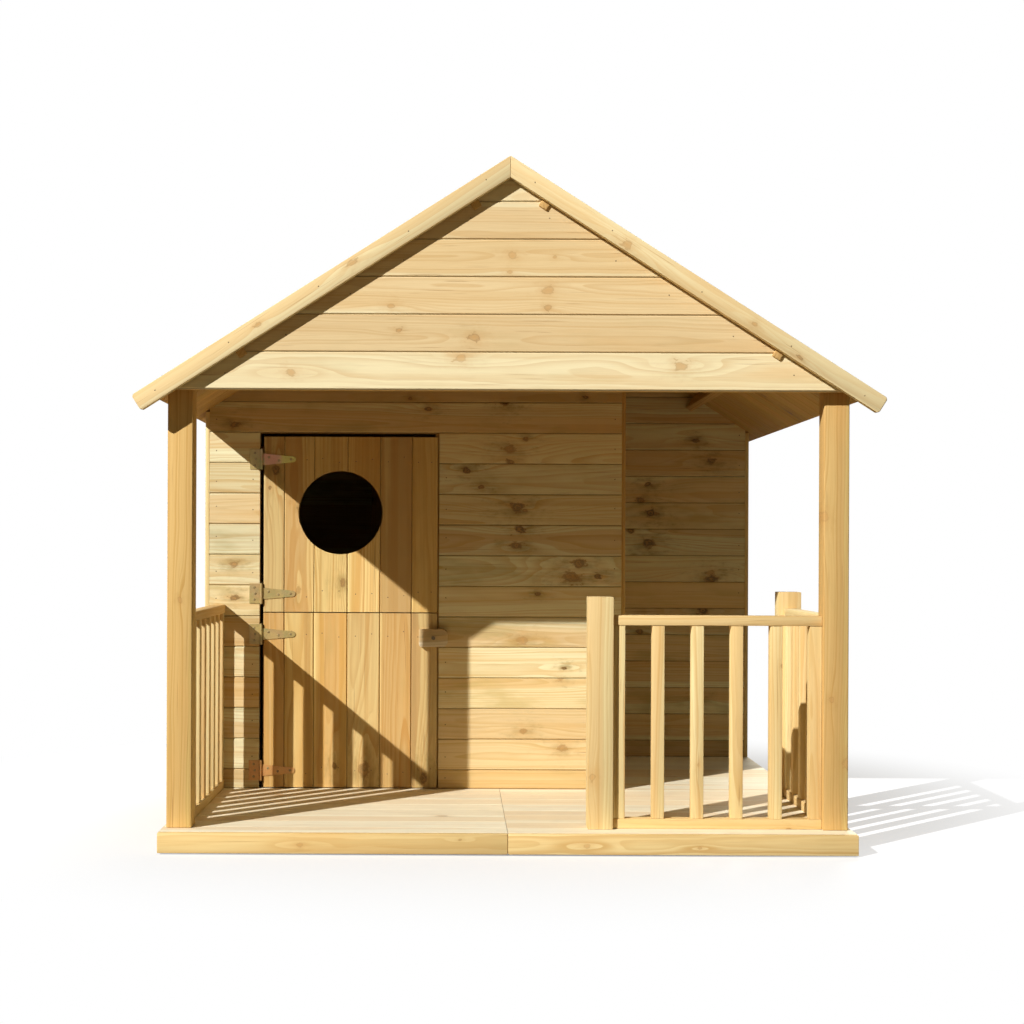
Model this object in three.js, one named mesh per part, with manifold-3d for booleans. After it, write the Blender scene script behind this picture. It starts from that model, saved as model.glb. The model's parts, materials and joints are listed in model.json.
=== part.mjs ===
// Wooden playhouse: a cabin under a pitched roof with an L-shaped railed porch and a stable door.
// Millimetres, +Z up. The origin is on the ground, under the middle of the roof; -Y is the front.
import * as THREE from "three";
import { mergeVertices } from "three/addons/utils/BufferGeometryUtils.js";
import Module from "manifold-3d";

const wasm = await Module();
wasm.setup();

// Clearances
const fitGap = 0.3; // between two pieces that touch
const cutOverrun = 20; // how far a cutting body runs past the face it cuts

// Overall
const ridgeHeight = 1717;
const eaveReach = 890; // from the middle to the roof boards' lower edge
const eaveOverhang = 30; // from the floor's side out to that edge
const floorLength = 1990;

// Floor: two panels side by side, boards on joists, with a fascia board across the front
const floorBoardThickness = 19;
const floorBoardCover = 95;
const floorGrooveWidth = 2;
const floorGrooveDepth = 1.5;
const joistHeight = 34;
const joistWidth = 44;
const joistCount = 5;
const rimWidth = 28;
const fasciaThickness = 18;
const fasciaGroundGap = 3;
const panelSeam = 1.2;

// Wall boards and the battens behind them
const boardThickness = 12;
const boardCover = 89.2;
const lowestBoardCover = 55; // the bottom board is ripped down
const grooveWidth = 5;
const grooveDepth = 2.5;
const stud = 40;
const studDepth = 28;
const trimWidth = 44;
const plateBelowBatten = 25; // wood left in a sloping plate under each roof batten

// Plan: shares of the floor's length, and of the reach from the middle to the floor's side
const postSetback = 72;
const porchShare = 0.3518;
const recessShare = 0.391;
const innerWallShare = 0.4244;
const newelShare = 0.307;

// Posts, newels and rails
const postWidth = 63;
const postInset = 10;
const newelHeight = 580;
const sideNewelShare = 0.814; // of the porch's depth
const railWidth = 35;
const railThickness = 25;
const railDrop = 46; // from the newels' tops down to the handrails
const balusterWidth = 30.5;
const frontBalusters = 6;
const sideBalusters = 6;
const leftBalusters = 8;

// Roof
const roofPitch = THREE.MathUtils.degToRad(32.5);
const roofBoardThickness = 16;
const roofBoardDrop = 1;
const roofBoardCover = 91;
const rearOverhang = 60;
const bargeDepth = 44.5;
const bargeThickness = 20;
const bargeOverhang = 44; // past the roof boards' lower edge
const bargeSetback = 4;
const bargeCorner = 5;
const battenWidth = 22;
const battenDepth = 45;
const upperBattenShare = 0.131;
const lowerBattenShare = 0.802;

// Front gable
const gableHeel = 11.3; // height of the gable's ends, between its lower edge and the roof
const gableBoardThickness = 16;
const gableBoardCover = 93;
const gableBatten = 45;
const gableBattenDepth = 24.5;

// Stable door: an upper and a lower leaf of upright boards, with a round window in the upper one
const openingFromCorner = 159;
const openingWidth = 522.5;
const wallOverOpening = 163; // wall left between the roof and the doorway's outer corner
const hingeSideGap = 11;
const latchSideGap = 3.5;
const headGap = 11;
const sillGap = 3;
const splitShare = 0.495; // height of the split between the leaves, as a share of the doorway's
const splitGap = 3;
const leafBoardEdgeShares = [0.121, 0.29, 0.482, 0.669, 0.85];
const leafBattenWidth = 55;
const leafBattenDepth = 20;
const leafBattenInset = 20;
const stopOverlap = 8;
const windowRadiusShare = 0.2385; // of the upper leaf's height
const windowMiddleShares = { across: 0.441, up: 0.568 }; // of the upper leaf's width and height
const windowSides = 48;

// T hinges
// Hinge middles, in from the ends of their leaf
const hingeInsets = { upper_top: 66, upper_bottom: 53, lower_top: 62, lower_bottom: 49 };
const hingeMetal = 2;
const crossplateHeight = 58;
const crossplateWidth = 30;
const strapLength = 95;
const strapRoot = 34;
const strapTip = 17;
const knuckleRadius = 4;
const knuckleHeight = 22;
const knuckleGap = 0.5;
const pinRadius = 2;
const pinClearance = 0.3;
const pinHeadRadius = 3.2;
const pinHeadHeight = 1.5;
const hingeAxisDrop = 0.5; // how far the hinge axis sits in front of the knuckle touching the wall
const roundSides = 16;
const arcSteps = 6;

// Turn button
const buttonLength = 84;
const buttonWidth = 52;
const buttonThickness = 16;
const buttonCorner = 8;
const buttonNose = 17; // corner radius at the end that laps over the wall
const buttonStandoff = 1.5;
const buttonFromLeafEdge = 12;
const buttonDrop = 71; // below the lower leaf's top
const screwRadius = 2.5;
const screwClearance = 0.4;
const screwHeadRadius = 5.5;
const screwHeadHeight = 3;
const screwTip = 2;

// Places worked out from the sizes above
const floorTop = joistHeight + floorBoardThickness;
const side = eaveReach - eaveOverhang;
const sideInner = side - boardThickness;
const porchDepth = porchShare * floorLength;
const frontWallFace = postSetback + porchDepth;
const recessWallFace = frontWallFace + recessShare * floorLength;
const innerWallReach = innerWallShare * side;
const innerWallInner = innerWallReach - boardThickness;
const rearWallInner = floorLength - boardThickness;
const roofFront = bargeSetback + bargeThickness + fitGap;
const roofRear = floorLength + rearOverhang - bargeThickness - fitGap;
const slope = Math.tan(roofPitch);
const squareToSlope = 1 / Math.cos(roofPitch);
const slopingPlate = battenDepth + plateBelowBatten;
const postOuter = side - postInset;
const postInner = postOuter - postWidth;

// Materials
const wood = (name, color) => {
  const material = new THREE.MeshStandardMaterial({ color, roughness: 0.75, metalness: 0 });
  material.name = name;
  return material;
};
const metal = (name, color) => {
  const material = new THREE.MeshStandardMaterial({ color, roughness: 0.45, metalness: 0.9 });
  material.name = name;
  return material;
};
const materials = {
  wallBoards: wood("wall_boards", 0xe3c48a),
  gableBoards: wood("gable_boards", 0xe8cb92),
  doorBoards: wood("door_boards", 0xdcbb80),
  floorBoards: wood("floor_boards", 0xe8cd9c),
  roofBoards: wood("roof_boards", 0xdcbb80),
  planed: wood("planed_timber", 0xe9cd96),
  framing: wood("framing_timber", 0xd6b47c),
  weathered: wood("weathered_wood", 0x8d7a5c),
  zinc: metal("hinge_metal", 0x9aa08c),
  steel: metal("screw_metal", 0xa8a8a4),
};

// Solids: closed meshes that can be joined and cut
function solidOf(geometry) {
  geometry.deleteAttribute("normal");
  geometry.deleteAttribute("uv");
  const merged = mergeVertices(geometry);
  const vertProperties = merged.attributes.position.array;
  const triVerts = new Uint32Array(merged.index.array);
  return new wasm.Manifold(new wasm.Mesh({ numProp: 3, vertProperties, triVerts }));
}

function geometryOf(solid) {
  const { vertProperties, triVerts } = solid.getMesh();
  const geometry = new THREE.BufferGeometry();
  geometry.setAttribute("position", new THREE.BufferAttribute(vertProperties, 3));
  geometry.setIndex(new THREE.BufferAttribute(triVerts, 1));
  geometry.computeVertexNormals();
  return geometry;
}

const joined = (solids) => solids.reduce((whole, next) => whole.add(next));
const cutBy = (solid, cutters) => cutters.reduce((left, cutter) => left.subtract(cutter), solid);

// An outline swept along one axis. Outline points are (y, z) along x, (x, z) along y, (x, y) along z.
function swept(axis, outline, from, to) {
  const drawn = outline instanceof THREE.Shape;
  const shape = drawn ? outline : new THREE.Shape(outline.map(([p, q]) => new THREE.Vector2(p, q)));
  const run = { depth: to - from, bevelEnabled: false, curveSegments: arcSteps };
  const geometry = new THREE.ExtrudeGeometry(shape, run);
  if (axis === "x") {
    geometry.applyMatrix4(new THREE.Matrix4().makeBasis(
      new THREE.Vector3(0, 1, 0),
      new THREE.Vector3(0, 0, 1),
      new THREE.Vector3(1, 0, 0),
    ));
    geometry.translate(from, 0, 0);
  } else if (axis === "y") {
    geometry.rotateX(Math.PI / 2);
    geometry.translate(0, to, 0);
  } else {
    geometry.translate(0, 0, from);
  }
  return solidOf(geometry);
}

function block([x0, x1], [y0, y1], [z0, z1]) {
  return swept("z", [[x0, y0], [x1, y0], [x1, y1], [x0, y1]], z0, z1);
}

function cylinder(axis, [p, q], radius, from, to, sides = roundSides) {
  const turn = (2 * Math.PI) / sides;
  const ring = Array.from({ length: sides }, (unused, i) => {
    const angle = turn / 2 + i * turn;
    return [p + radius * Math.cos(angle), q + radius * Math.sin(angle)];
  });
  return swept(axis, ring, from, to);
}

// Height of the roof boards' underside, and of a plane square below the roof's top face
const roofTop = (x, below = 0) => ridgeHeight - slope * Math.abs(x) - below * squareToSlope;
const reachAt = (height, below) => (roofTop(0, below) - height) / slope;
const boardUnderside = roofBoardDrop + roofBoardThickness;
const roofUnderside = (x) => roofTop(x, boardUnderside);

// The doorway, its two leaves and the axis that they turn on
const openingLeft = openingFromCorner - side;
const openingRight = openingLeft + openingWidth;
const openingTop = roofUnderside(openingLeft) - wallOverOpening;
const leafLeft = openingLeft + hingeSideGap;
const leafRight = openingRight - latchSideGap;
const leafWidth = leafRight - leafLeft;
const splitLevel = floorTop + splitShare * (openingTop - floorTop);
const upperLeaf = [splitLevel + splitGap / 2, openingTop - headGap];
const lowerLeaf = [floorTop + sillGap, splitLevel - splitGap / 2];
const hingeAxisX = (openingLeft + leafLeft) / 2;
const hingeAxisY = frontWallFace - knuckleRadius - hingeAxisDrop;
const hingeHeights = {
  upper_top: upperLeaf[1] - hingeInsets.upper_top,
  upper_bottom: upperLeaf[0] + hingeInsets.upper_bottom,
  lower_top: lowerLeaf[1] - hingeInsets.lower_top,
  lower_bottom: lowerLeaf[0] + hingeInsets.lower_bottom,
};

// The outline, in x and z, of everything that fits under the roof between two x and above a height
function underRoof(x0, x1, bottom, below = boardUnderside + fitGap) {
  const outline = [[x0, bottom], [x1, bottom], [x1, roofTop(x1, below)]];
  if (x0 < 0 && x1 > 0) outline.push([0, roofTop(0, below)]);
  outline.push([x0, roofTop(x0, below)]);
  return outline;
}

// Boards laid side by side with a V groove at each joint, as an outline in depth and height
function boardProfile(face, inward, bottom, top, cover, width, depth, lowest = cover) {
  const outline = [[face, bottom]];
  for (let joint = bottom + lowest; joint < top - width; joint += cover) {
    outline.push([face, joint - width / 2], [face + inward * depth, joint], [face, joint + width / 2]);
  }
  return outline;
}

const wallBoards = { thickness: boardThickness, cover: boardCover, lowest: lowestBoardCover };

function claddingProfile(face, inward, bottom, top, { thickness, cover, lowest } = wallBoards) {
  const outline = boardProfile(face, inward, bottom, top, cover, grooveWidth, grooveDepth, lowest);
  outline.push([face, top], [face + inward * thickness, top], [face + inward * thickness, bottom]);
  return outline;
}

// Roof battens, square to the slope, and the notches that let them through the gables
const roofSides = { left: -1, right: 1 };
const battenReaches = { upper: upperBattenShare * side, lower: lowerBattenShare * side };

function battenOutline(sign, reach, clearance) {
  const half = (battenWidth / 2 + clearance) * Math.cos(roofPitch);
  const inner = reach - half;
  const outer = reach + half;
  const top = boardUnderside + fitGap - (clearance ? cutOverrun : 0);
  const bottom = boardUnderside + fitGap + battenDepth + clearance;
  const lean = Math.sin(roofPitch);
  const corner = (x, below) => [
    sign * (x - below * lean),
    ridgeHeight - x * slope - below * Math.cos(roofPitch),
  ];
  return [corner(inner, bottom), corner(outer, bottom), corner(outer, top), corner(inner, top)];
}

function battenNotches(from, to) {
  return Object.values(roofSides).flatMap((sign) =>
    Object.values(battenReaches).map((reach) => swept("y", battenOutline(sign, reach, fitGap), from, to)));
}

// Nodes are gathered in one group; the house is built from the floor's front edge backwards
const playhouse = new THREE.Group();
playhouse.name = "playhouse";
playhouse.position.y = -(floorLength + rearOverhang) / 2;

function addPiece(name, material, solid) {
  const mesh = new THREE.Mesh(geometryOf(solid), material);
  mesh.name = name;
  playhouse.add(mesh);
}

// Floor
function floorBoards(x0, x1) {
  const from = fasciaThickness + fitGap;
  const outline = [[from, floorTop]];
  for (let joint = floorBoardCover; joint < floorLength - floorGrooveWidth; joint += floorBoardCover) {
    outline.push([joint - floorGrooveWidth / 2, floorTop]);
    outline.push([joint, floorTop - floorGrooveDepth]);
    outline.push([joint + floorGrooveWidth / 2, floorTop]);
  }
  outline.push([floorLength, floorTop], [floorLength, joistHeight + fitGap], [from, joistHeight + fitGap]);
  return swept("x", outline, x0, x1);
}

function floorFrame(x0, x1) {
  const front = fasciaThickness + fitGap;
  const height = [0, joistHeight];
  const rims = [front, floorLength - rimWidth].map((y) => block([x0, x1], [y, y + rimWidth], height));
  const pitch = (x1 - x0 - joistWidth) / (joistCount - 1);
  const joists = Array.from({ length: joistCount }, (unused, i) =>
    block([x0 + i * pitch, x0 + i * pitch + joistWidth], [front, floorLength], height));
  return joined([...rims, ...joists]);
}

for (const [name, x0, x1] of [["left", -side, -panelSeam / 2], ["right", panelSeam / 2, side]]) {
  addPiece(`floor_boards_${name}`, materials.floorBoards, floorBoards(x0, x1));
  addPiece(`floor_frame_${name}`, materials.framing, floorFrame(x0, x1));
  const fascia = block([x0, x1], [0, fasciaThickness], [fasciaGroundGap, floorTop]);
  addPiece(`front_fascia_${name}`, materials.planed, fascia);
}

// Walls that face the front or the back, with their tops cut to the roof
const wallFoot = floorTop + fitGap;

function crossWallCladding(face, inward, x0, x1, openings = []) {
  const inside = face + inward * boardThickness;
  const slab = swept("x", claddingProfile(face, inward, wallFoot, ridgeHeight), x0, x1);
  const low = Math.min(face, inside) - cutOverrun;
  const high = Math.max(face, inside) + cutOverrun;
  const under = slab.intersect(swept("y", underRoof(x0, x1, wallFoot), low, high));
  return cutBy(under, [...battenNotches(low, high), ...openings]);
}

// Walls along the house, up to the roof at their outer face
function longWallCladding(face, inward, y0, y1) {
  const top = roofUnderside(Math.max(Math.abs(face), Math.abs(face + inward * boardThickness))) - fitGap;
  return swept("y", claddingProfile(face, inward, wallFoot, top), y0, y1);
}

const trimBack = frontWallFace + trimWidth;
const innerTrimFace = frontWallFace + boardThickness;
const recessTrimBack = recessWallFace + trimWidth;
const doorway = block(
  [openingLeft, openingRight],
  [frontWallFace - cutOverrun, frontWallFace + boardThickness + cutOverrun],
  [floorTop - cutOverrun, openingTop],
);

addPiece("front_wall_cladding", materials.wallBoards,
  crossWallCladding(frontWallFace, 1, -sideInner + fitGap, innerWallInner - fitGap, [doorway]));
addPiece("recess_wall_cladding", materials.wallBoards,
  crossWallCladding(recessWallFace, 1, innerWallReach + fitGap, sideInner - fitGap));
addPiece("rear_wall_cladding", materials.wallBoards,
  crossWallCladding(floorLength, -1, -sideInner + fitGap, sideInner - fitGap));
addPiece("left_wall_cladding", materials.wallBoards,
  longWallCladding(-side, 1, trimBack + fitGap, floorLength));
addPiece("right_wall_cladding", materials.wallBoards,
  longWallCladding(side, -1, recessTrimBack + fitGap, floorLength));
addPiece("inner_wall_cladding", materials.wallBoards,
  longWallCladding(innerWallReach, -1, innerTrimFace + trimWidth + fitGap, recessWallFace + boardThickness));

function cornerTrim(outer, inward, y0) {
  const xs = [outer, outer + inward * boardThickness].sort((a, b) => a - b);
  const top = roofUnderside(Math.max(...xs.map(Math.abs))) - fitGap;
  return block(xs, [y0, y0 + trimWidth], [wallFoot, top]);
}

addPiece("front_left_corner_trim", materials.planed, cornerTrim(-side, 1, frontWallFace));
addPiece("front_right_corner_trim", materials.planed, cornerTrim(innerWallReach, -1, innerTrimFace));
addPiece("recess_corner_trim", materials.planed, cornerTrim(side, -1, recessWallFace));

// Wall frames: studs between a foot plate and plates under the roof
function crossWallFrame(y0, x0, x1, studLefts, gaps = []) {
  const ys = [y0, y0 + studDepth];
  const cut = [ys[0] - cutOverrun, ys[1] + cutOverrun];
  const outer = swept("y", underRoof(x0, x1, wallFoot), ...ys);
  const bay = underRoof(x0 + stud, x1 - stud, wallFoot + stud, boardUnderside + slopingPlate);
  const inner = swept("y", bay, ...cut);
  const under = swept("y", underRoof(x0, x1, wallFoot), ...cut);
  const studs = studLefts.map((x) => block([x, x + stud], ys, [wallFoot, ridgeHeight]).intersect(under));
  return cutBy(joined([outer.subtract(inner), ...studs]), [...battenNotches(...cut), ...gaps]);
}

function longWallFrame(x0, y0, y1, studFronts) {
  const xs = [x0, x0 + studDepth];
  const top = roofUnderside(Math.max(...xs.map(Math.abs))) - fitGap;
  const plates = [wallFoot, top - stud].map((z) => block(xs, [y0, y1], [z, z + stud]));
  const studs = studFronts.map((y) => block(xs, [y, y + stud], [wallFoot, top]));
  return joined([...plates, ...studs]);
}

const evenly = (from, to, bays) =>
  Array.from({ length: bays + 1 }, (unused, i) => from + (i * (to - stud - from)) / bays);

// Front wall frame: the stud on the latch side of the doorway reaches in behind the leaves and stops them
const frontFrameFace = frontWallFace + boardThickness + fitGap;
const frontFrameBack = frontFrameFace + studDepth;
const hingeStud = openingLeft - stud;
const latchStud = leafRight - stopOverlap;

function frontWallFrame() {
  const x0 = -sideInner + fitGap;
  const x1 = innerWallInner - fitGap;
  const ys = [frontFrameFace, frontFrameBack];
  const cut = [ys[0] - cutOverrun, ys[1] + cutOverrun];
  const lintel = block([hingeStud, latchStud + stud], ys, [openingTop, openingTop + stud]);
  const gap = block([openingLeft, latchStud], cut, [floorTop - cutOverrun, openingTop]);
  return crossWallFrame(frontFrameFace, x0, x1, [hingeStud, latchStud], [gap]).add(lintel);
}

const rearFrameFace = rearWallInner - fitGap - studDepth;
const recessFrameFace = recessWallFace + boardThickness + fitGap;
const recessFrameLeft = innerWallInner + fitGap;
const leftFrameFront = frontFrameBack + fitGap;
const sideFrameRear = rearFrameFace - fitGap;
const leftFrameFace = -sideInner + fitGap;
const rightFrameFace = sideInner - fitGap - studDepth;
const innerFrameFace = innerWallInner - fitGap - studDepth;
const leftWallBays = 3;
const rearWallBays = 4;
const innerWallBays = 2;
const rightWallBays = 1;

addPiece("front_wall_frame", materials.framing, frontWallFrame());
addPiece("rear_wall_frame", materials.framing,
  crossWallFrame(rearFrameFace, -sideInner + fitGap, sideInner - fitGap,
    evenly(-sideInner + fitGap, sideInner - fitGap, rearWallBays)));
addPiece("left_wall_frame", materials.framing,
  longWallFrame(leftFrameFace, leftFrameFront, sideFrameRear,
    evenly(leftFrameFront, sideFrameRear, leftWallBays)));
addPiece("inner_wall_frame", materials.framing,
  longWallFrame(innerFrameFace, leftFrameFront, recessFrameFace + studDepth,
    evenly(leftFrameFront, recessFrameFace + studDepth, innerWallBays)));
addPiece("recess_frame", materials.framing,
  crossWallFrame(recessFrameFace, recessFrameLeft, sideInner - fitGap, [])
    .add(longWallFrame(rightFrameFace, recessFrameFace, sideFrameRear,
      evenly(recessFrameFace, sideFrameRear, rightWallBays))));

// Front gable, fixed to the front of the posts
const gableFoot = roofUnderside(postOuter) - gableHeel;
const gableFrameFace = postSetback - fitGap - gableBattenDepth;
const gableFace = gableFrameFace - fitGap - gableBoardThickness;

function gableCladding() {
  const boards = { thickness: gableBoardThickness, cover: gableBoardCover, lowest: gableBoardCover };
  const profile = claddingProfile(gableFace, 1, gableFoot, ridgeHeight, boards);
  const slab = swept("x", profile, -postOuter, postOuter);
  const cut = [gableFace - cutOverrun, gableFace + gableBoardThickness + cutOverrun];
  const under = swept("y", underRoof(-postOuter, postOuter, gableFoot), ...cut);
  return cutBy(slab.intersect(under), battenNotches(...cut));
}

function gableFrame() {
  const ys = [gableFrameFace, gableFrameFace + gableBattenDepth];
  const cut = [ys[0] - cutOverrun, ys[1] + cutOverrun];
  const outer = swept("y", underRoof(-postOuter, postOuter, gableFoot), ...ys);
  const hole = gableFoot + gableBatten;
  const below = boardUnderside + slopingPlate;
  const reach = reachAt(hole, below);
  const inner = swept("y", [[-reach, hole], [reach, hole], [0, roofTop(0, below)]], ...cut);
  const kingTop = roofTop(gableBatten, boardUnderside);
  const king = block([-gableBatten / 2, gableBatten / 2], ys, [gableFoot, kingTop]);
  return cutBy(outer.subtract(inner).add(king), battenNotches(...cut));
}

addPiece("front_gable_cladding", materials.gableBoards, gableCladding());
addPiece("front_gable_frame", materials.framing, gableFrame());

// Posts and newels
const postYs = [postSetback, postSetback + postWidth];
const newelTop = floorTop + newelHeight;
const newelReach = newelShare * side;
const frontNewel = [newelReach - postWidth, newelReach];
const sideNewelFace = postSetback + sideNewelShare * porchDepth;
const sideNewelYs = [sideNewelFace, sideNewelFace + postWidth];

addPiece("left_post", materials.planed, swept("y", underRoof(-postOuter, -postInner, wallFoot), ...postYs));
addPiece("right_post", materials.planed, swept("y", underRoof(postInner, postOuter, wallFoot), ...postYs));
addPiece("front_newel", materials.planed, block(frontNewel, postYs, [wallFoot, newelTop]));
addPiece("side_newel", materials.planed, block([postInner, postOuter], sideNewelYs, [wallFoot, newelTop]));

// Railings: a handrail on balusters that stand on a bottom rail
const railTop = newelTop - railDrop;
const handrailZs = [railTop - railThickness, railTop];
const bottomRailZs = [wallFoot, wallFoot + railThickness];
const balusterZs = [bottomRailZs[1], handrailZs[0] - fitGap];

function addRailing(name, alongX, [from, to], across, count) {
  const place = (run, width, zs) => {
    const inset = across + (postWidth - width) / 2;
    const band = [inset, inset + width];
    return alongX ? block(run, band, zs) : block(band, run, zs);
  };
  const run = [from + fitGap, to - fitGap];
  const pitch = (run[1] - run[0] - balusterWidth) / (count - 1);
  const balusters = Array.from({ length: count }, (unused, i) =>
    place([run[0] + i * pitch, run[0] + i * pitch + balusterWidth], balusterWidth, balusterZs));
  const bottomRail = place(run, railWidth, bottomRailZs);
  addPiece(`${name}_handrail`, materials.planed, place(run, railWidth, handrailZs));
  addPiece(`${name}_balusters`, materials.planed, joined([bottomRail, ...balusters]));
}

addRailing("front", true, [frontNewel[1], postInner], postSetback, frontBalusters);
addRailing("side", false, [postYs[1], sideNewelYs[0]], postInner, sideBalusters);
addRailing("left", false, [postYs[1], frontWallFace], -postOuter, leftBalusters);

// Roof boards run from the ridge to the eave; the grooves face down into the porch and cabin
function roofBoards(sign) {
  const reach = eaveReach * squareToSlope;
  const profile = boardProfile(0, 1, roofFront, roofRear, roofBoardCover, grooveWidth, grooveDepth);
  profile.push([0, roofRear], [roofBoardThickness, roofRear], [roofBoardThickness, roofFront]);
  const geometry = new THREE.ExtrudeGeometry(
    new THREE.Shape(profile.map(([depth, y]) => new THREE.Vector2(y, depth))),
    { depth: reach + 2 * cutOverrun, bevelEnabled: false },
  );
  const down = new THREE.Vector3(Math.cos(roofPitch), 0, -Math.sin(roofPitch));
  const up = new THREE.Vector3(Math.sin(roofPitch), 0, Math.cos(roofPitch));
  geometry.applyMatrix4(new THREE.Matrix4().makeBasis(new THREE.Vector3(0, 1, 0), up, down));
  geometry.translate(-cutOverrun * down.x, 0, roofUnderside(0) - cutOverrun * down.z);
  const eave = eaveReach + roofBoardThickness * Math.sin(roofPitch);
  const trim = swept("y", [
    [panelSeam / 2, roofTop(eaveReach, bargeDepth)],
    [eaveReach, roofUnderside(eaveReach)],
    [eave, roofTop(eave, roofBoardDrop)],
    [eave, ridgeHeight],
    [panelSeam / 2, ridgeHeight + cutOverrun],
  ], roofFront - cutOverrun, roofRear + cutOverrun);
  const boards = solidOf(geometry).intersect(trim);
  return sign > 0 ? boards : boards.mirror([1, 0, 0]);
}

function bargeboard(sign, y0) {
  const run = (eaveReach + bargeOverhang) * squareToSlope;
  const along = new THREE.Vector2(Math.cos(roofPitch), -Math.sin(roofPitch));
  const inward = new THREE.Vector2(-Math.sin(roofPitch), -Math.cos(roofPitch));
  const at = (distance, depth) => [
    along.x * distance + inward.x * depth,
    ridgeHeight + along.y * distance + inward.y * depth,
  ];
  const top = ridgeHeight - slope * fitGap;
  const outline = [
    [fitGap, top],
    at(run - bargeCorner, 0),
    at(run, bargeCorner),
    at(run, bargeDepth - bargeCorner),
    at(run - bargeCorner, bargeDepth),
    [fitGap, top - bargeDepth * squareToSlope],
  ];
  return swept("y", outline.map(([x, z]) => [sign * x, z]), y0, y0 + bargeThickness);
}

for (const [name, sign] of Object.entries(roofSides)) {
  addPiece(`roof_boards_${name}`, materials.roofBoards, roofBoards(sign));
  addPiece(`front_bargeboard_${name}`, materials.planed, bargeboard(sign, bargeSetback));
  addPiece(`rear_bargeboard_${name}`, materials.planed, bargeboard(sign, roofRear + fitGap));
  for (const [place, reach] of Object.entries(battenReaches)) {
    addPiece(`roof_batten_${place}_${name}`, materials.framing,
      swept("y", battenOutline(sign, reach, 0), roofFront, roofRear));
  }
}

// Door leaves
const leafYs = [frontWallFace, frontWallFace + boardThickness];
const leafBattenYs = [leafYs[1] + fitGap, leafYs[1] + fitGap + leafBattenDepth];
const battenXs = [leafLeft + leafBattenInset, leafRight - leafBattenInset];

function roundWindow() {
  const height = upperLeaf[1] - upperLeaf[0];
  const middle = [
    leafLeft + windowMiddleShares.across * leafWidth,
    upperLeaf[0] + windowMiddleShares.up * height,
  ];
  const radius = windowRadiusShare * height;
  return cylinder("y", middle, radius, leafYs[0] - cutOverrun, leafYs[1] + cutOverrun, windowSides);
}

function leafBoards(z0, z1) {
  const outline = [[leafLeft, leafYs[0]]];
  for (const share of leafBoardEdgeShares) {
    const joint = leafLeft + share * leafWidth;
    outline.push([joint - grooveWidth / 2, leafYs[0]], [joint, leafYs[0] + grooveDepth]);
    outline.push([joint + grooveWidth / 2, leafYs[0]]);
  }
  outline.push([leafRight, leafYs[0]], [leafRight, leafYs[1]], [leafLeft, leafYs[1]]);
  return swept("z", outline, z0, z1);
}

// Ledges behind the hinges, joined by stiles at both edges
function leafBattens(ledgeHeights) {
  const spans = ledgeHeights.map((middle) => [middle - leafBattenWidth / 2, middle + leafBattenWidth / 2]);
  const zs = [Math.min(...spans.flat()), Math.max(...spans.flat())];
  const stiles = [battenXs[0], battenXs[1] - leafBattenWidth].map((x) =>
    block([x, x + leafBattenWidth], leafBattenYs, zs));
  return joined([...spans.map((span) => block(battenXs, leafBattenYs, span)), ...stiles]);
}

function diagonalBrace(zs) {
  const x0 = battenXs[0] + leafBattenWidth / 2;
  const x1 = battenXs[1] - leafBattenWidth / 2;
  const rise = leafBattenWidth / 2 / Math.cos(Math.atan2(zs[1] - zs[0], x1 - x0));
  const outline = [[x0, zs[0] - rise], [x1, zs[1] - rise], [x1, zs[1] + rise], [x0, zs[0] + rise]];
  const clear = swept("y", [
    [battenXs[0], zs[0]],
    [battenXs[1], zs[0]],
    [battenXs[1], zs[1]],
    [battenXs[0], zs[1]],
  ], ...leafBattenYs);
  return swept("y", outline, ...leafBattenYs).intersect(clear);
}

const screwX = leafRight - buttonFromLeafEdge;
const screwZ = lowerLeaf[1] - buttonDrop;
const screwHole = cylinder("y", [screwX, screwZ], screwRadius + screwClearance,
  leafYs[0] - cutOverrun, leafYs[1] + cutOverrun);

addPiece("upper_door_boards", materials.doorBoards,
  leafBoards(...upperLeaf).subtract(roundWindow()));
addPiece("upper_door_battens", materials.framing,
  leafBattens([hingeHeights.upper_top, hingeHeights.upper_bottom]));
addPiece("lower_door_boards", materials.doorBoards,
  leafBoards(...lowerLeaf).subtract(screwHole));
addPiece("lower_door_battens", materials.framing,
  leafBattens([hingeHeights.lower_top, hingeHeights.lower_bottom])
    .add(diagonalBrace([hingeHeights.lower_bottom, hingeHeights.lower_top])));

// T hinges: a crossplate on the wall, a tapered strap on the leaf and a pin through their knuckles
const hingeBack = frontWallFace - fitGap;
const hingeFront = hingeBack - hingeMetal;
const knuckleOuter = crossplateHeight / 2;
const strapKnuckle = knuckleHeight / 2;
const knuckleStart = knuckleRadius + knuckleGap;

const hingeAxis = [hingeAxisX, hingeAxisY];
const pinBore = (zs) =>
  cylinder("z", hingeAxis, pinRadius + pinClearance, zs[0] - cutOverrun, zs[1] + cutOverrun);

function crossplate(z) {
  const plateLeft = hingeAxisX - knuckleStart - crossplateWidth;
  const zs = [z - knuckleOuter, z + knuckleOuter];
  const mouthZs = [z - strapKnuckle - knuckleGap, z + strapKnuckle + knuckleGap];
  const plate = block([plateLeft, hingeAxisX], [hingeFront, hingeBack], zs);
  const roll = cylinder("z", hingeAxis, knuckleRadius, ...zs);
  const mouth = block([hingeAxisX - knuckleStart, hingeAxisX + knuckleStart],
    [hingeAxisY - knuckleStart, hingeBack + knuckleStart], mouthZs);
  return cutBy(plate.add(roll), [mouth, pinBore(zs)]);
}

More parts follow.
